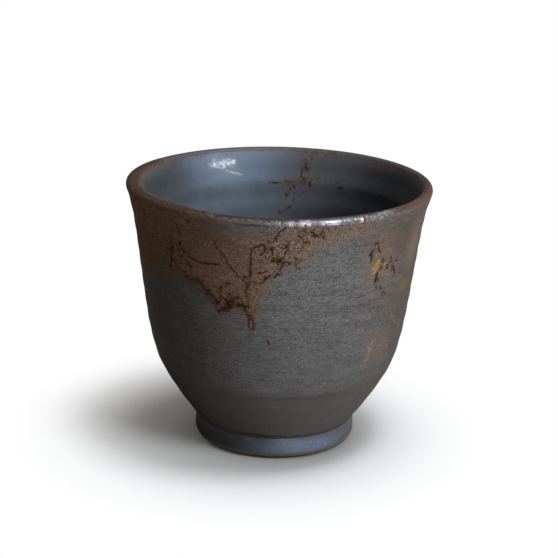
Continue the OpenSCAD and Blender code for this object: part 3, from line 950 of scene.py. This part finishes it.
def rim_glaze_finish():
    material, place = new_finish("breaking_rim_glaze")
    mm = place["Millimetres"]
    high, bearing = place["Height"], place["Bearing"]
    patch = noise(mm, 0.4, 5.0, 0.65)
    grain = noise(mm, 1.1, 4.0, 0.7)
    tone = outer_tone(place)[0]
    inside = inner_tone(place, patch)[0]
    rust_mask = stains(place, patch, RIM_RUST, 1.0, 0.25)
    shine = stains(place, patch, RIM_PAINTED_SHEEN_AND_GLOSS, 0.8, 0.4)
    grey = blend(ramp(patch, 0.38, 0.62), "4e4744", "6b625e")
    # Painted sheen: round the front right the lip is painted a paler grey, where the lamps' highlight falls
    # on it
    light = blend(ramp(grain, 0.4, 0.62), "636166", "a4a0aa")
    grey = blend(times(shine, 0.9), grey, light)
    rust = blend(ramp(patch, 0.35, 0.65), "33211a", "452d1d")
    rust = blend(ramp(grain, 0.5, 0.7, 0.0, 0.7), rust, "67401f")
    right_part = ramp(bearing, 30.0, 60.0)
    rust = blend(times(right_part, 0.6), rust, "6c4e3c")
    base = blend(rust_mask, grey, rust)
    base = blend(specks(place, 0.9, 0.3, 0.45), base, "2a1912")
    # At the back, and inwards everywhere, it is the inner glaze that runs over the lip
    back = stains(place, patch, ((177, 74, 62, 30),), 0.6, 0.25)
    glazed_in = plus(ramp(bearing, 12.0, 22.0, 0.55, 0.8), ramp(bearing, 34.0, 46.0, 0.0, 0.7),
                     ramp(bearing, -20.0, -38.0, 0.0, 2.3), ramp(bearing, -60.0, -85.0, 0.0, 0.9))
    ragged = times(minus(patch, 0.5), 1.4)
    beyond = minus(minus(RIM_MM, plus(place["Radius"], ragged)), glazed_in)
    inward = ramp(beyond, -0.1, 0.2)
    inner_grey = blend(0.5, inside["Colour"], "5a5656")
    # Painted shade: at the front the inner side of the lip is darkened nearly to black
    painted_front_shade = stains(place, patch, ((10, 74, 42, 30),), 0.2, 0.4)
    inner_grey = blend(times(painted_front_shade, 0.9), inner_grey, "2b2a2e")
    base = blend(most(back, inward), base, inner_grey)
    top = ramp(plus(high, times(patch, 0.3)), TOP_MM - 0.05, TOP_MM + 0.1)
    base = blend(times(top, times(back, 0.6)), base, "3a3431")
    # On its outer side the lip has the wall's tone, and on the left it has that all over
    on_roll = plus(high, times(patch, 1.6))
    outer_side = ramp(place["Radius"], RIM_MM - 0.9, RIM_MM - 0.4)
    lower = times(ramp(on_roll, TOP_MM + 0.1, TOP_MM - 0.6), outer_side)
    # The wall's tone stays off the painted sheen
    lower = times(lower, ramp(shine, 0.0, 1.0, 1.0, 0.1))
    left_over = stains(place, patch, ((-71, 74, 50, 30),), 0.5, 0.15)
    lower = most(lower, times(left_over, ramp(beyond, 0.1, -0.2)))
    up = ramp(high, TOP_MM - 1.5, TOP_MM + 0.2, 0.15, 0.6)
    wall_tone = blend(times(up, left_over), tone["Colour"], "1c1106")
    base = blend(lower, base, wall_tone)
    # A line along the lip's inner edge: dark brown at the front, paler on the left
    edge = times(around(beyond, 0.1, 0.4, 0.85), ramp(grain, 0.36, 0.5), minus(1.0, back))
    left_part = ramp(bearing, -26.0, -34.0)
    base = blend(edge, base,
                 blend(left_part, "44302a", blend(ramp(bearing, -58.0, -74.0), "7d5a47", "564840")))
    bar = stains(place, patch, ((31.4, 74, 0.6, 30),), 0.8, 0.35)
    base = blend(times(bar, 0.9), base, "6b3b36")
    dots = stains(place, patch, RIM_DOTS, 0.5, 0.4)
    base = blend(times(dots, 0.85), base, "261a15")
    # Painted highlight: pale glints painted into the lip's colour, at the spots where its coat also shines
    glint_spots = stains(place, patch, RIM_GLINTS, 1.2, 0.45)
    below_top = shaken(high, grain, 0.8)
    painted_glint = times(glint_spots, ramp(below_top, TOP_MM - 0.4, TOP_MM - 0.7))
    painted_glint = times(painted_glint, ramp(grain, 0.36, 0.54, 0.28, 1.0))
    base = blend(times(painted_glint, minus(1.0, dots)), base, "d9d6e2")
    dull = most(rust_mask, lower, back, bar, dots, inward)
    gloss = times(ramp(grain, 0.44, 0.56), ramp(dull, 0.3, 1.0, 1.0, 0.0))
    gloss = most(times(gloss, 0.3), times(glint_spots, ramp(dull, 0.3, 1.0, 1.0, 0.0)))
    gloss = times(gloss, ramp(below_top, TOP_MM - 0.35, TOP_MM - 0.6, 0.15, 1.0))
    relief = plus(patch, times(grain, 1.6))
    return finished(material, relief, 1.0, 0.3, {
        "Base Color": base, "Roughness": ramp(dull, 0.0, 1.0, 0.3, 0.62),
        "Coat Weight": times(gloss, ramp(shine, 0.0, 0.6, 0.2, 1.0)), "Coat Roughness": 0.13,
        "Coat IOR": 1.9, "Specular IOR Level": 0.3})


def foot_glaze_finish():
    material, place = new_finish("blue_foot_glaze")
    mm = place["Millimetres"]
    lines = use_group(TURNING, {"Millimetres": mm, "Pitch": 1.6, "Run": 9.0})
    patch = noise(mm, 0.3, 4.0, 0.6)
    fine = noise(mm, 1.6, 3.0, 0.6)
    base = blend(ramp(patch, 0.35, 0.65), "494d54", "555c68")
    base = blend(times(lines["Tone"], 0.25), base, "43464d")
    # Painted sheen: a paler blue round the front right of the foot
    blue = stains(place, patch, ((24, 3.2, 30, 3.4),), 1.2, 0.8)
    base = blend(times(blue, ramp(fine, 0.3, 0.6, 0.5, 1.0)), base, "6b7790")
    ragged_h = plus(place["Height"], patch)
    # Painted shade: the top of the foot, under the wall's crease, is greyed and darkened a little
    upper = ramp(ragged_h, FOOT_MM - 1.6, FOOT_MM + 0.3)
    base = blend(times(upper, 0.6), base, "4a4d50")
    # Painted shade: the left of the foot is darkened to a dark brown
    base = stained(base, place, patch, (
        ("2a251b", 0.85, 0.5, 0.3, ((-108, 3, 92, 30),)),
        ("58514c", 0.7, 0.5, 0.4, ((98, 3, 46, 30),))))
    thin = ramp(ragged_h, BARE_MM + 2.2, BARE_MM + 1.2)
    base = blend(times(thin, 0.85), base, "665e4c")
    brown = ramp(ragged_h, BARE_MM + 0.9, BARE_MM + 0.5)
    base = blend(brown, base, "3e2f1c")
    relief = plus(times(lines["Height"], 0.6), times(patch, 0.8))
    return finished(material, relief, 0.5, 0.16, {
        "Base Color": base, "Roughness": ramp(fine, 0.3, 0.7, 0.28, 0.42)})


def stoneware_finish():
    material, place = new_finish("bare_stoneware")
    mm = place["Millimetres"]
    grit = noise(mm, 1.6, 4.0, 0.7)
    base = blend(ramp(grit, 0.35, 0.65), "453523", "645038")
    base = blend(specks(place, 0.9, 0.18, 0.4), base, "241a14")
    return finished(material, grit, 0.6, 0.12, {
        "Base Color": base, "Roughness": ramp(grit, 0.3, 0.7, 0.75, 0.92)})


def iron_finish(name, deep, light):
    material, place = new_finish(name)
    mm = place["Millimetres"]
    tint = noise(mm, 1.1, 3.0, 0.6)
    base = blend(ramp(tint, 0.38, 0.62), deep, light)
    return finished(material, tint, 0.4, 0.06, {
        "Base Color": base, "Roughness": ramp(tint, 0.3, 0.7, 0.5, 0.75), "Specular IOR Level": 0.12})


MATTE_GLAZE = outer_glaze_finish()
GLOSSY_GLAZE = inner_glaze_finish()
RIM_GLAZE = rim_glaze_finish()
FOOT_GLAZE = foot_glaze_finish()
STONEWARE = stoneware_finish()
IRON = iron_finish("crusted_iron", "26140c", "452715")
SUNK_IRON = iron_finish("sunk_iron", "2a231e", "443830")

# The turned pieces
TURNED_COAT = turned_coat_tree()
WAVER = 0.45 * MM
WAVER_SIZE = 30 * MM
CORNER = math.radians(50)


def thinned(line):
    """Every few points of a line that is never seen."""
    return line[:-1:HIDDEN_STEP] + [line[-1]]


def coat(name, outline, material, ridge=0.0, ridge_pitch=1.0 * MM):
    """A turned piece in one finish."""
    piece = grown(name, outline_mesh(outline), TURNED_COAT, {
        "Round steps": ROUND_STEPS, "Waver": WAVER, "Waver size": WAVER_SIZE,
        "Ridge": ridge, "Ridge pitch": ridge_pitch, "Lip swell": SWELL_IN, "Lip lift": SWELL_UP,
        "Finish": material})
    piece.data.set_sharp_from_angle(angle=CORNER)
    return piece


def settle(piece, slot, *nodes):
    """Lets a piece ride on the cup, in the place of the CAD nodes that it stands for."""
    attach(piece, "root")
    if nodes:
        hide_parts(*nodes)


def outer_coat():
    lean = OUTER_WALL[-1] - OUTER_WALL[-2]
    start = OUTER_WALL[1] - OUTER_WALL[0]
    back = inset(OUTER_WALL, [GLAZE_T] * len(OUTER_WALL), start, lean)
    return coat("bare_outer_coat", OUTER_WALL + thinned(back[::-1]), MATTE_GLAZE, 0.1 * MM, 5.5 * MM)


def inner_coat():
    back = inset(BOWL, [-GLAZE_T] * len(BOWL), Vector((1, 0)), BOWL[-1] - BOWL[-2])
    return coat("bare_inner_coat", BOWL[::-1] + thinned(back), GLOSSY_GLAZE, 0.16 * MM, 7 * MM)


def rim_coat():
    glazed = arc(LIP_CENTRE, LIP_R, -LIP_LEAN, math.pi - LIP_LEAN)
    clay = arc(LIP_CENTRE, LIP_R - GLAZE_T, -LIP_LEAN, math.pi - LIP_LEAN)
    return coat("rim_glaze_roll", glazed + clay[::-1], RIM_GLAZE)


def foot_coat():
    glazed = [p for p in foot_line(GLAZE_T) if p.y > BARE_H]
    clay = [p for p in foot_line(0) if p.y > BARE_H]
    return coat("foot_glaze_coat", glazed + clay[::-1], FOOT_GLAZE)


def foot_clay():
    recess = arc(Vector((REST_R - LAND_W, LAND_EASE)), LAND_EASE, math.pi, 1.5 * math.pi)
    return coat("foot_ring_clay", foot_line(0) + [Vector((RECESS_R, FOOT_H))] + recess, STONEWARE)


bare_outer = outer_coat()
bare_inner = inner_coat()
settle(rim_coat(), "rim_glaze", "rim_glaze")
settle(foot_coat(), "foot_glaze", "foot_glaze")
settle(foot_clay(), "stoneware", "foot_ring")

# The iron's routes: for each point its bearing in degrees and its height in millimetres
FRONT_HAIRS = (
    (-39.5, 65.3, -39.2, 64.2, -37.9, 63.3, -36.6, 62.6, -35.3, 61.8, -33.9, 61.5, -32.1, 61.1, -30.7,
     60.9, -28.5, 60.8, -26.4, 61, -24.7, 61.2, -23.4, 61.1, -21.8, 61.2),
    (-21.9, 65, -20.7, 64.4, -20, 63.8, -19.6, 63.2, -18.9, 62.2, -18.4, 61.6, -17.2, 60.7, -15.6, 59.6),
    (-9.3, 66.8, -9.5, 65.1, -9.7, 63.4, -9.9, 62, -9.9, 60.6, -9.8, 59.9, -10.3, 58.6, -10.4, 57.1, -10.8,
     55.7),
    (-9.3, 66.8, -7.8, 67, -6.7, 67.5, -6, 67.9, -4.9, 68.1),
    (-12.5, 57.6, -11, 55.7, -11.6, 55.1, -12.2, 53.9, -11.4, 52.5),
    (-5.6, 59.9, -4.5, 60.2, -3.4, 60.6),
    (-2.9, 67.2, -2.4, 67.2, -1.7, 66.5),
    (0.8, 71.9, 2, 72.5, 3, 73.1),
    (4.1, 69.2, 4.1, 68.3, 3.6, 67.7, 3.1, 67),
    (7.1, 64.3, 6.4, 63.8, 6.8, 62.5),
    (11.1, 71.8, 12.2, 71.2, 13.7, 70.6, 14.5, 70.1),
    (15.5, 70.7, 16.4, 69.9, 16.7, 69.5),
    (-43.8, 65.2, -43.6, 63.5, -43.9, 62.4, -44.9, 60.5, -44.7, 59.1, -46.5, 57.4),
    (-39.6, 70.1, -39.1, 68.8, -38.6, 67.1),
    (-28.5, 53.1, -27.1, 53.4, -25.8, 53.5),
    (-28.5, 52.2, -27.2, 52.4, -25.8, 52.4, -25, 52.2),
    (-36, 60.2, -35.3, 58.6, -34.5, 57.3),
    (-10.7, 46.8, -11, 45.4, -11, 44.2, -10, 43.4, -9.2, 43.2),
    (-4.9, 67.5, -4.2, 66.4, -4.9, 65.6, -6.4, 65),
    (2, 63.2, 3.5, 63.2, 5, 62.9),
    (7.3, 70.6, 8.8, 69.7, 10, 68.5),
)
FRONT_VEINS = (
    (-36.1, 62.3, -34.8, 61.7, -33.4, 61.4),
    (-26.8, 61, -24.7, 61.2, -23, 61.1),
    (-23.4, 67.4, -22.9, 66.6, -22.4, 65.6, -21.9, 65),
    (-15.5, 59.5, -15.2, 58.7, -14.6, 58.1),
    (-13.2, 58.7, -12.1, 58.7, -11.3, 58.2, -10.2, 58.1),
    (-9.9, 62.3, -10, 61.5),
    (-10.1, 60.3, -9.5, 59.7, -10.2, 59.1, -10, 58.6),
    (-7.5, 59.7, -6.7, 59.7, -5.6, 59.9),
    (-9.4, 57.3, -8.3, 57.1, -7.3, 57),
    (-6.2, 56.8, -5.6, 57.1, -4.9, 57.7, -4.3, 58, -3.7, 58.6, -2.8, 59.2),
    (-1.3, 58.5, -0.8, 58.9, 0, 59.5),
    (1, 60.9, 1.4, 61.8),
    (0.2, 62.3, 0.2, 63.2),
    (-0.2, 70.5, 0.3, 71.3, 0.8, 71.9),
    (3.3, 66.6, 3, 65.7, 2.3, 65.2),
    (6.8, 62.5, 6.7, 61.9),
    (7.3, 61.7, 8, 61.1, 8.8, 60.9),
    (11.2, 68.9, 11.3, 68.1),
    (-33.8, 55.7, -31.9, 55.5, -30.5, 55.4, -30.1, 54.7, -29.3, 53.7, -28, 52.8),
    (-25.5, 51.7, -24.2, 51.3),
    (-9.5, 47.2, -9.1, 46.1, -8.9, 45.2, -8.6, 44.2),
    (-3.5, 40.6, -2.9, 39.9, -2.5, 39.3),
    (-19.7, 56, -17.8, 56.2),
    (-21.8, 55.1, -22.1, 54.2),
    (-37.7, 55.8, -36.7, 55.7),
)
FRONT_KNOTS = (
    (0, 59.7, 0.7, 59.9, 1.4, 59.8),
    (-2.3, 63.3, -1.6, 63.6, -0.5, 63.5, 0.6, 63.3),
    (-1.8, 64, -0.9, 64.4),
    (-2.2, 66.5, -1.8, 65.8, -1.3, 65.1),
    (-3.3, 69, -3.1, 68.5),
    (-0.6, 70, -0.3, 69.9),
    (0.7, 63.7, 1.8, 64),
    (-24.8, 50.3, -23.8, 50.7, -22.5, 50.6, -23, 50, -24.3, 49.9),
    (-21.2, 51.9, -20.8, 51.5, -19.9, 51.3),
    (-18.8, 53.1, -18.4, 53),
    (-17.8, 52.2, -16.2, 52.2, -15, 52.1, -14.2, 52.6),
    (-18.7, 51.1, -17.5, 51.1, -16.3, 51),
    (-15, 50.8, -13.8, 50.7, -12.6, 50.3, -11.5, 50),
    (-20, 50.1, -19.2, 49.9, -17.5, 49.8, -16.7, 49.9),
    (-15.9, 49.9, -14.3, 50.1),
    (-20, 49.8, -19.9, 49, -20.1, 48.3),
    (-21.8, 48.7, -20.1, 49, -18.4, 49),
    (-21.8, 48, -20.1, 48.1, -18.4, 48.4),
    (-23.8, 47.7, -23.2, 47.9),
    (-12.9, 48.9, -12.1, 49.6, -11.1, 50.4),
    (-11.9, 48.2, -11.5, 47.5, -9.9, 47.6),
    (-22, 52.4, -21.6, 52.3),
    (-11.8, 55.2, -11.4, 54.9),
    (-44, 62.6, -43.8, 62.1),
    (-33.8, 72.3, -33.7, 71.8),
)
SIDE_VEINS = (
    (38.3, 64.8, 38.3, 65.9, 38.8, 66.5, 39.6, 66.3, 40.5, 65.1, 41.3, 64.1, 42, 63.4),
    (38, 64.4, 37.3, 64, 37.2, 63.5, 38, 62.5),
    (37.7, 62.1, 37.4, 61.9, 37.8, 61.1),
    (44.4, 61, 44.3, 60.3),
    (43, 59.5, 43.8, 59.3, 44.7, 59.4),
    (42.7, 58.6, 44.1, 58.4),
    (46.5, 58, 48.1, 57.9),
    (47, 59.3, 47.9, 58.6),
    (48.8, 59.5, 49.3, 59.7),
    (48.1, 61.4, 49, 60.7),
    (52.2, 59.6, 53.4, 59.6),
    (50.4, 58.5, 51.7, 57.7, 53, 56.4, 53.8, 55.1),
    (50.3, 56.9, 51, 57),
    (41.5, 57.6, 41.6, 56.6),
    (42.4, 57.5, 42.6, 56.8),
    (41.7, 56.2, 42.6, 55.8, 43.3, 55.1),
    (41.3, 55.5, 41.1, 55, 41.8, 54.2),
    (42.4, 53.4, 43.2, 53.1),
    (44.7, 52.4, 45.5, 52.5, 45.6, 53.2),
    (47.2, 51.1, 48.9, 49.9),
    (33.9, 66.4, 34.4, 66.3),
    (42.1, 66.8, 42.5, 66.4),
)
SIDE_KNOTS = (
    (38.4, 66.3, 39.4, 66.2),
    (37.3, 64, 37.8, 63.1, 37.8, 62.3),
    (37.6, 62, 37.8, 61.4),
    (44.2, 60.9, 44.6, 60.1),
    (43.2, 58.6, 44.4, 58.4),
    (46.8, 58, 48.1, 57.8),
    (48.7, 59.6, 49.1, 59.4),
    (50.4, 58.5, 51.8, 57.6, 53, 56.4),
    (52.3, 59.6, 53.5, 59.4),
    (42, 56.2, 42.9, 55.6, 43.3, 55.1),
    (41.2, 55.5, 41.3, 54.7),
    (42.7, 53.5, 43, 53.1),
    (45.2, 52.7, 45.4, 52.1),
    (46.5, 51.5, 48.4, 50.3),
    (40.7, 64.5, 41.8, 63.5),
)
SCRATCHES = (
    (-8.3, 52.1, -6.7, 53.7, -4.8, 55.4, -3.4, 56.9),
    (-6.9, 51.4, -5, 53.2, -2.8, 55.3, -1.3, 57),
)
RUST_TAILS = (
    (45.7, 52, 48.5, 50.1, 50.6, 48.9, 52.5, 47.7, 53.8, 46.3, 55.6, 43.9, 58, 41.7, 60.3, 40.2),
    (60.3, 40.2, 64.4, 38.8, 69.8, 37.1),
)
INSIDE_VEINS = (
    (165.6, 72.5, 166.1, 71.6, 166.8, 70.6, 167.4, 69.7, 167, 69),
    (168.6, 70.2, 167.6, 69.5),
    (169.7, 68.6, 169.4, 67.5, 168.5, 66),
    (-171.7, 64.8, -173.6, 64.9, -176, 64.9, -179.3, 64.9, 177.4, 65.2, 174.1, 65.5),
    (165.5, 65.3, 164.7, 64.5),
    (176.7, 64.4, 175, 64.6, 173.1, 64.5),
    (174.7, 64, 174.4, 62.8, 175.4, 62.5),
    (172.9, 64.1, 172.3, 62.9, 172.9, 61.5),
    (177.5, 62.2, 177, 61.4, 175.5, 61),
    (170, 62.2, 168.6, 62.2),
    (172.6, 61.1, 172.7, 60.2, 173.2, 58.9, 174.6, 58, 176, 57.2),
    (179.4, 55.9, 179.9, 55.3),
    (150, 64.5, 149.3, 65.3),
    (168.6, 67.2, 167.8, 66.4, 167.6, 65.2),
)
INSIDE_RUST_LINES = (
    (165, 65.3, 162.5, 65.3, 159.6, 65.6, 156.1, 65.6, 152.2, 66.2, 148.2, 67),
    (165.1, 66.2, 161.8, 66.8, 159.5, 67.3),
    (176.5, 57, 178.9, 56.1, -178.6, 55.1),
    (170, 73.4, 168.4, 71.8, 168.1, 70.1, 168.3, 68.4, 168.5, 66.6),
    (167.8, 73.5, 167, 71.8),
)
GLOSS_STREAKS = (
    (-147.7, 73.6, -149.4, 72.4, -150.2, 71.2, -149.2, 70.4),
    (-143.6, 72.3, -146.4, 71.4, -149.1, 70.5, -152.8, 69.5),
    (-154.9, 71.9, -154.6, 70.6, -154, 69.4, -156.3, 68.7, -159.5, 67.8, -162.5, 67.2),
    (-155.4, 72.3, -157, 72.6, -158.7, 72.2, -159.6, 71.4, -158.2, 70.7),
)
IRON_PATHS = paths_tree()
IRON_SPREAD = spread_tree("Iron spread", IRON_MARK)
RUST_LINE = spread_tree("Rust line", TAIL_MARK)
SCRATCH = spread_tree("Scratch", SCRATCH_MARK)
GLOSS_STREAK = spread_tree("Gloss streak", GLOSS_MARK)
IRON_THREADS = thread_tree()
IRON_GRAINS = grain_tree()


def paths(name, routes, wall, wander, twig, chance, seed):
    """Paths along routes on the outer coat, or on the inner one; lengths in millimetres."""
    line, side = (INNER_WALL, -1.0) if wall is bare_inner else (OUTER_WALL, 1.0)
    return grown(name, line_curves(routes, line), IRON_PATHS, {
        "Wall": wall, "Side": side, "Wander": wander * MM, "Twig length": twig * MM, "Twig chance": chance,
        "Seed": seed})


def spread(name, wall, tree, source, far):
    """A wall marked with how near the paths are, up to some millimetres away."""
    return grown(name, wall.data, tree, {"Paths": source, "Spread": far * MM})


def threads(name, source, radius, gaps, *nodes, finish=IRON):
    piece = grown(name, source.data, IRON_THREADS, {
        "Thread radius": radius * MM, "Gaps": gaps, "Finish": finish})
    settle(piece, "iron_splash", *nodes)


def grains(name, source, far, radius, per_area, seed):
    piece = grown(name, outer.data, IRON_GRAINS, {
        "Paths": source, "Spread": far * MM, "Grain radius": radius * MM, "Grains per area": per_area,
        "Seed": seed, "Finish": IRON})
    settle(piece, "iron_splash")


def joined(name, pieces):
    """One edge mesh made of several."""
    mesh = bpy.data.meshes.new(name)
    points, edges = [], []
    for piece in pieces:
        first = len(points)
        points += [v.co.copy() for v in piece.data.vertices]
        edges += [(e.vertices[0] + first, e.vertices[1] + first) for e in piece.data.edges]
    mesh.from_pydata(points, edges, [])
    return put(name, mesh)


hairs = paths("hair_paths", FRONT_HAIRS, bare_outer, 0.5, 1.6, 0.06, 2)
veins = paths("vein_paths", FRONT_VEINS, bare_outer, 0.4, 1.4, 0.1, 3)
knots = paths("knot_paths", FRONT_KNOTS, bare_outer, 0.5, 0.9, 0.25, 8)
side = paths("side_paths", SIDE_VEINS, bare_outer, 0.4, 0.8, 0.08, 5)
side_knots = paths("side_knot_paths", SIDE_KNOTS, bare_outer, 0.3, 0.6, 0.1, 16)
scratches = paths("scratch_paths", SCRATCHES, bare_outer, 0.3, 1.0, 0.02, 17)
tail = paths("tail_paths", RUST_TAILS, bare_outer, 0.4, 1.0, 0.02, 6)
inside = paths("inside_paths", INSIDE_VEINS, bare_inner, 0.4, 0.8, 0.08, 7)
soft = paths("inside_soft_paths", INSIDE_RUST_LINES, bare_inner, 0.5, 1.0, 0.03, 9)
shine = paths("gloss_paths", GLOSS_STREAKS, bare_inner, 0.8, 1.0, 0.05, 10)
outside = joined("outside_paths", [hairs, veins, knots, side, side_knots])
inner_rust = joined("inner_rust_paths", [inside, soft])

marked = spread("marked_wall", bare_outer, IRON_SPREAD, outside, 0.75)
lined = spread("lined_wall", marked, RUST_LINE, tail, 0.75)
outer = spread("outer_glaze_coat", lined, SCRATCH, scratches, 0.42)
streaked = spread("marked_bowl", bare_inner, IRON_SPREAD, inner_rust, 0.9)
inner = spread("inner_glaze_coat", streaked, GLOSS_STREAK, shine, 0.75)
settle(outer, "outer_glaze", "outer_glaze")
settle(inner, "inner_glaze", "inner_glaze")
threads("front_iron_hairs", hairs, 0.075, 0.46)
threads("front_iron_veins", veins, 0.11, 0.42, "iron_splash_front")
threads("front_iron_knots", knots, 0.16, 0.42)
threads("side_iron_veins", side, 0.09, 0.46, "iron_splash_side")
threads("inside_iron_veins", inside, 0.1, 0.42, "iron_splash_inside", finish=SUNK_IRON)
grains("front_iron_grains", veins, 2.2, 0.09, 1.4e6, 11)
grains("vein_edge_grains", outside, 0.42, 0.1, 6e6, 14)
grains("knot_iron_grains", knots, 1.0, 0.13, 8e6, 12)
grains("side_knot_grains", side_knots, 0.62, 0.14, 1.5e7, 15)
grains("side_iron_grains", side, 1.3, 0.08, 2e6, 13)
for spare in (marked, lined, streaked, scratches, bare_outer, bare_inner, hairs, veins, knots, side,
              side_knots, tail, inside, soft, shine, outside, inner_rust):
    bpy.data.objects.remove(spare)

# The CAD nodes that stay: the clay inside the coats, and the glaze on the recess's ceiling
for node, material in (("clay_body", STONEWARE), ("base_glaze", FOOT_GLAZE)):
    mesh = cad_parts[node].data
    mesh.materials.clear()
    mesh.materials.append(material)


# The photograph's camera
CAMERA_RISE = math.radians(17.534)
CAMERA_ROLL = math.radians(1.31)
CAMERA_FAR = 445.6 * MM
CAMERA_AIM = Vector((0.508, 0, 45.875)) * MM
SENSOR = 36
FOCAL_PIXELS = 1566.0
PHOTO_SIDE = 558


def place_camera():
    data = bpy.data.cameras.new("photo_camera")
    data.sensor_width = SENSOR
    data.lens = SENSOR * FOCAL_PIXELS / PHOTO_SIDE
    data.clip_start = 0.01
    camera = put("photo_camera", data)
    back = Vector((0, -math.cos(CAMERA_RISE), math.sin(CAMERA_RISE)))
    up = Vector((0, math.sin(CAMERA_RISE), math.cos(CAMERA_RISE)))
    right = Vector((1, 0, 0))
    across = right * math.cos(CAMERA_ROLL) + up * math.sin(CAMERA_ROLL)
    upward = up * math.cos(CAMERA_ROLL) - right * math.sin(CAMERA_ROLL)
    turned = Matrix((across, upward, back)).transposed().to_4x4()
    camera.matrix_world = Matrix.Translation(CAMERA_AIM + back * CAMERA_FAR) @ turned
    bpy.context.scene.camera = camera


def lamp(name, bearing, elevation, distance, width, height, power, tint=(1, 1, 1)):
    """A soft rectangular lamp that faces the cup, at a bearing from the front, + to the right."""
    data = bpy.data.lights.new(name, "AREA")
    data.shape = "RECTANGLE"
    data.size = width
    data.size_y = height
    data.energy = power
    data.color = tint
    light = put(name, data)
    b, e = math.radians(bearing), math.radians(elevation)
    away = Vector((math.sin(b) * math.cos(e), -math.cos(b) * math.cos(e), math.sin(e)))
    light.location = Vector((0, 0, CUP_H / 2)) + away * distance
    light.rotation_euler = away.to_track_quat("Z", "Y").to_euler()
    return light


FLOOR_SIDE = 8.0
FLOOR_TONE = 0.35
SHADE_REACH = 60 * MM
SHADED_TONE = (0.57, 0.562, 0.554, 1)
SKY_FILL = 0.18
SHADE_MIDDLE = (6 * MM, 0.0, 0.0)
SHADE_R = 0.028
WHITE_R = 0.075
BACKDROP_IN_GLOSS = 0.18


def seen_straight(tree):
    """How much of the pale backdrop a ray sees: all of it for the camera, part of it in a gloss."""
    ray = add(tree, "ShaderNodeLightPath").outputs
    mirrored = most(ray["Is Glossy Ray"], ray["Is Transmission Ray"])
    mirrored = times(mirrored, BACKDROP_IN_GLOSS)
    return most(ray["Is Camera Ray"], mirrored)


def lay_floor():
    """A pale floor that is white where nothing shades it, and keeps the cup's shadow."""
    half = FLOOR_SIDE / 2
    mesh = bpy.data.meshes.new("floor")
    mesh.from_pydata([(-half, -half, 0), (half, -half, 0), (half, half, 0), (-half, half, 0)], [],
                     [(0, 1, 2, 3)])
    floor = put("floor", mesh)
    material = bpy.data.materials.new("pale_floor")
    material.use_nodes = True
    tree = material.node_tree
    tree.nodes.clear()
    matte = made(tree, "ShaderNodeBsdfDiffuse", {"Color": (*[FLOOR_TONE] * 3, 1)})
    # Close to the cup less of the sky is open, which darkens the floor all round its foot
    open_sky = add(tree, "ShaderNodeAmbientOcclusion", {"Distance": SHADE_REACH}, samples=16).outputs["AO"]
    tone = blend(open_sky, (0, 0, 0, 1), SHADED_TONE)
    layer = made(tree, "ShaderNodeBsdfDiffuse", {"Color": tone})
    fill = made(tree, "ShaderNodeEmission", {"Color": (1, 1, 1, 1), "Strength": times(open_sky, SKY_FILL)})
    lit = made(tree, "ShaderNodeAddShader", {0: layer, 1: layer})
    lit = made(tree, "ShaderNodeAddShader", {0: lit, 1: fill})
    white = made(tree, "ShaderNodeEmission", {"Color": (1, 1, 1, 1), "Strength": 1.0})
    position = add(tree, "ShaderNodeTexCoord").outputs["Object"]
    away = vector_calc("LENGTH", vector_calc("ADD", position, SHADE_MIDDLE))
    far = ramp(away, SHADE_R, WHITE_R)
    pale = made(tree, "ShaderNodeMixShader", {0: far, 1: lit, 2: white})
    mixed = made(tree, "ShaderNodeMixShader", {0: seen_straight(tree), 1: matte, 2: pale})
    out = add(tree, "ShaderNodeOutputMaterial")
    tree.links.new(mixed, out.inputs[0])
    mesh.materials.append(material)


def set_world():
    world = bpy.data.worlds.new("studio")
    bpy.context.scene.world = world
    world.use_nodes = True
    tree = world.node_tree
    tree.nodes.clear()
    dim = made(tree, "ShaderNodeBackground", {"Color": (1, 0.85, 0.7, 1), "Strength": 0.04})
    white = made(tree, "ShaderNodeBackground", {"Color": (1, 1, 1, 1), "Strength": 1.0})
    mixed = made(tree, "ShaderNodeMixShader", {0: seen_straight(tree), 1: dim, 2: white})
    out = add(tree, "ShaderNodeOutputWorld")
    tree.links.new(mixed, out.inputs[0])


place_camera()
lay_floor()
set_world()
lamp("key", 52, 27, 1.0, 0.46, 0.26, 7.9, (0.93, 0.97, 1.0))
lamp("top", 58, 76, 1.0, 0.2, 0.2, 3.9, (0.88, 0.94, 1.0))
lamp("low_glint", 18, 4, 1.0, 0.28, 0.07, 1.0, (1.0, 0.98, 0.96))
lamp("back_right", 115, 60, 1.0, 0.5, 0.4, 0.8)
lamp("back_left", -150, 65, 1.0, 0.5, 0.4, 0.4)

bpy.context.scene.view_settings.view_transform = "Standard"
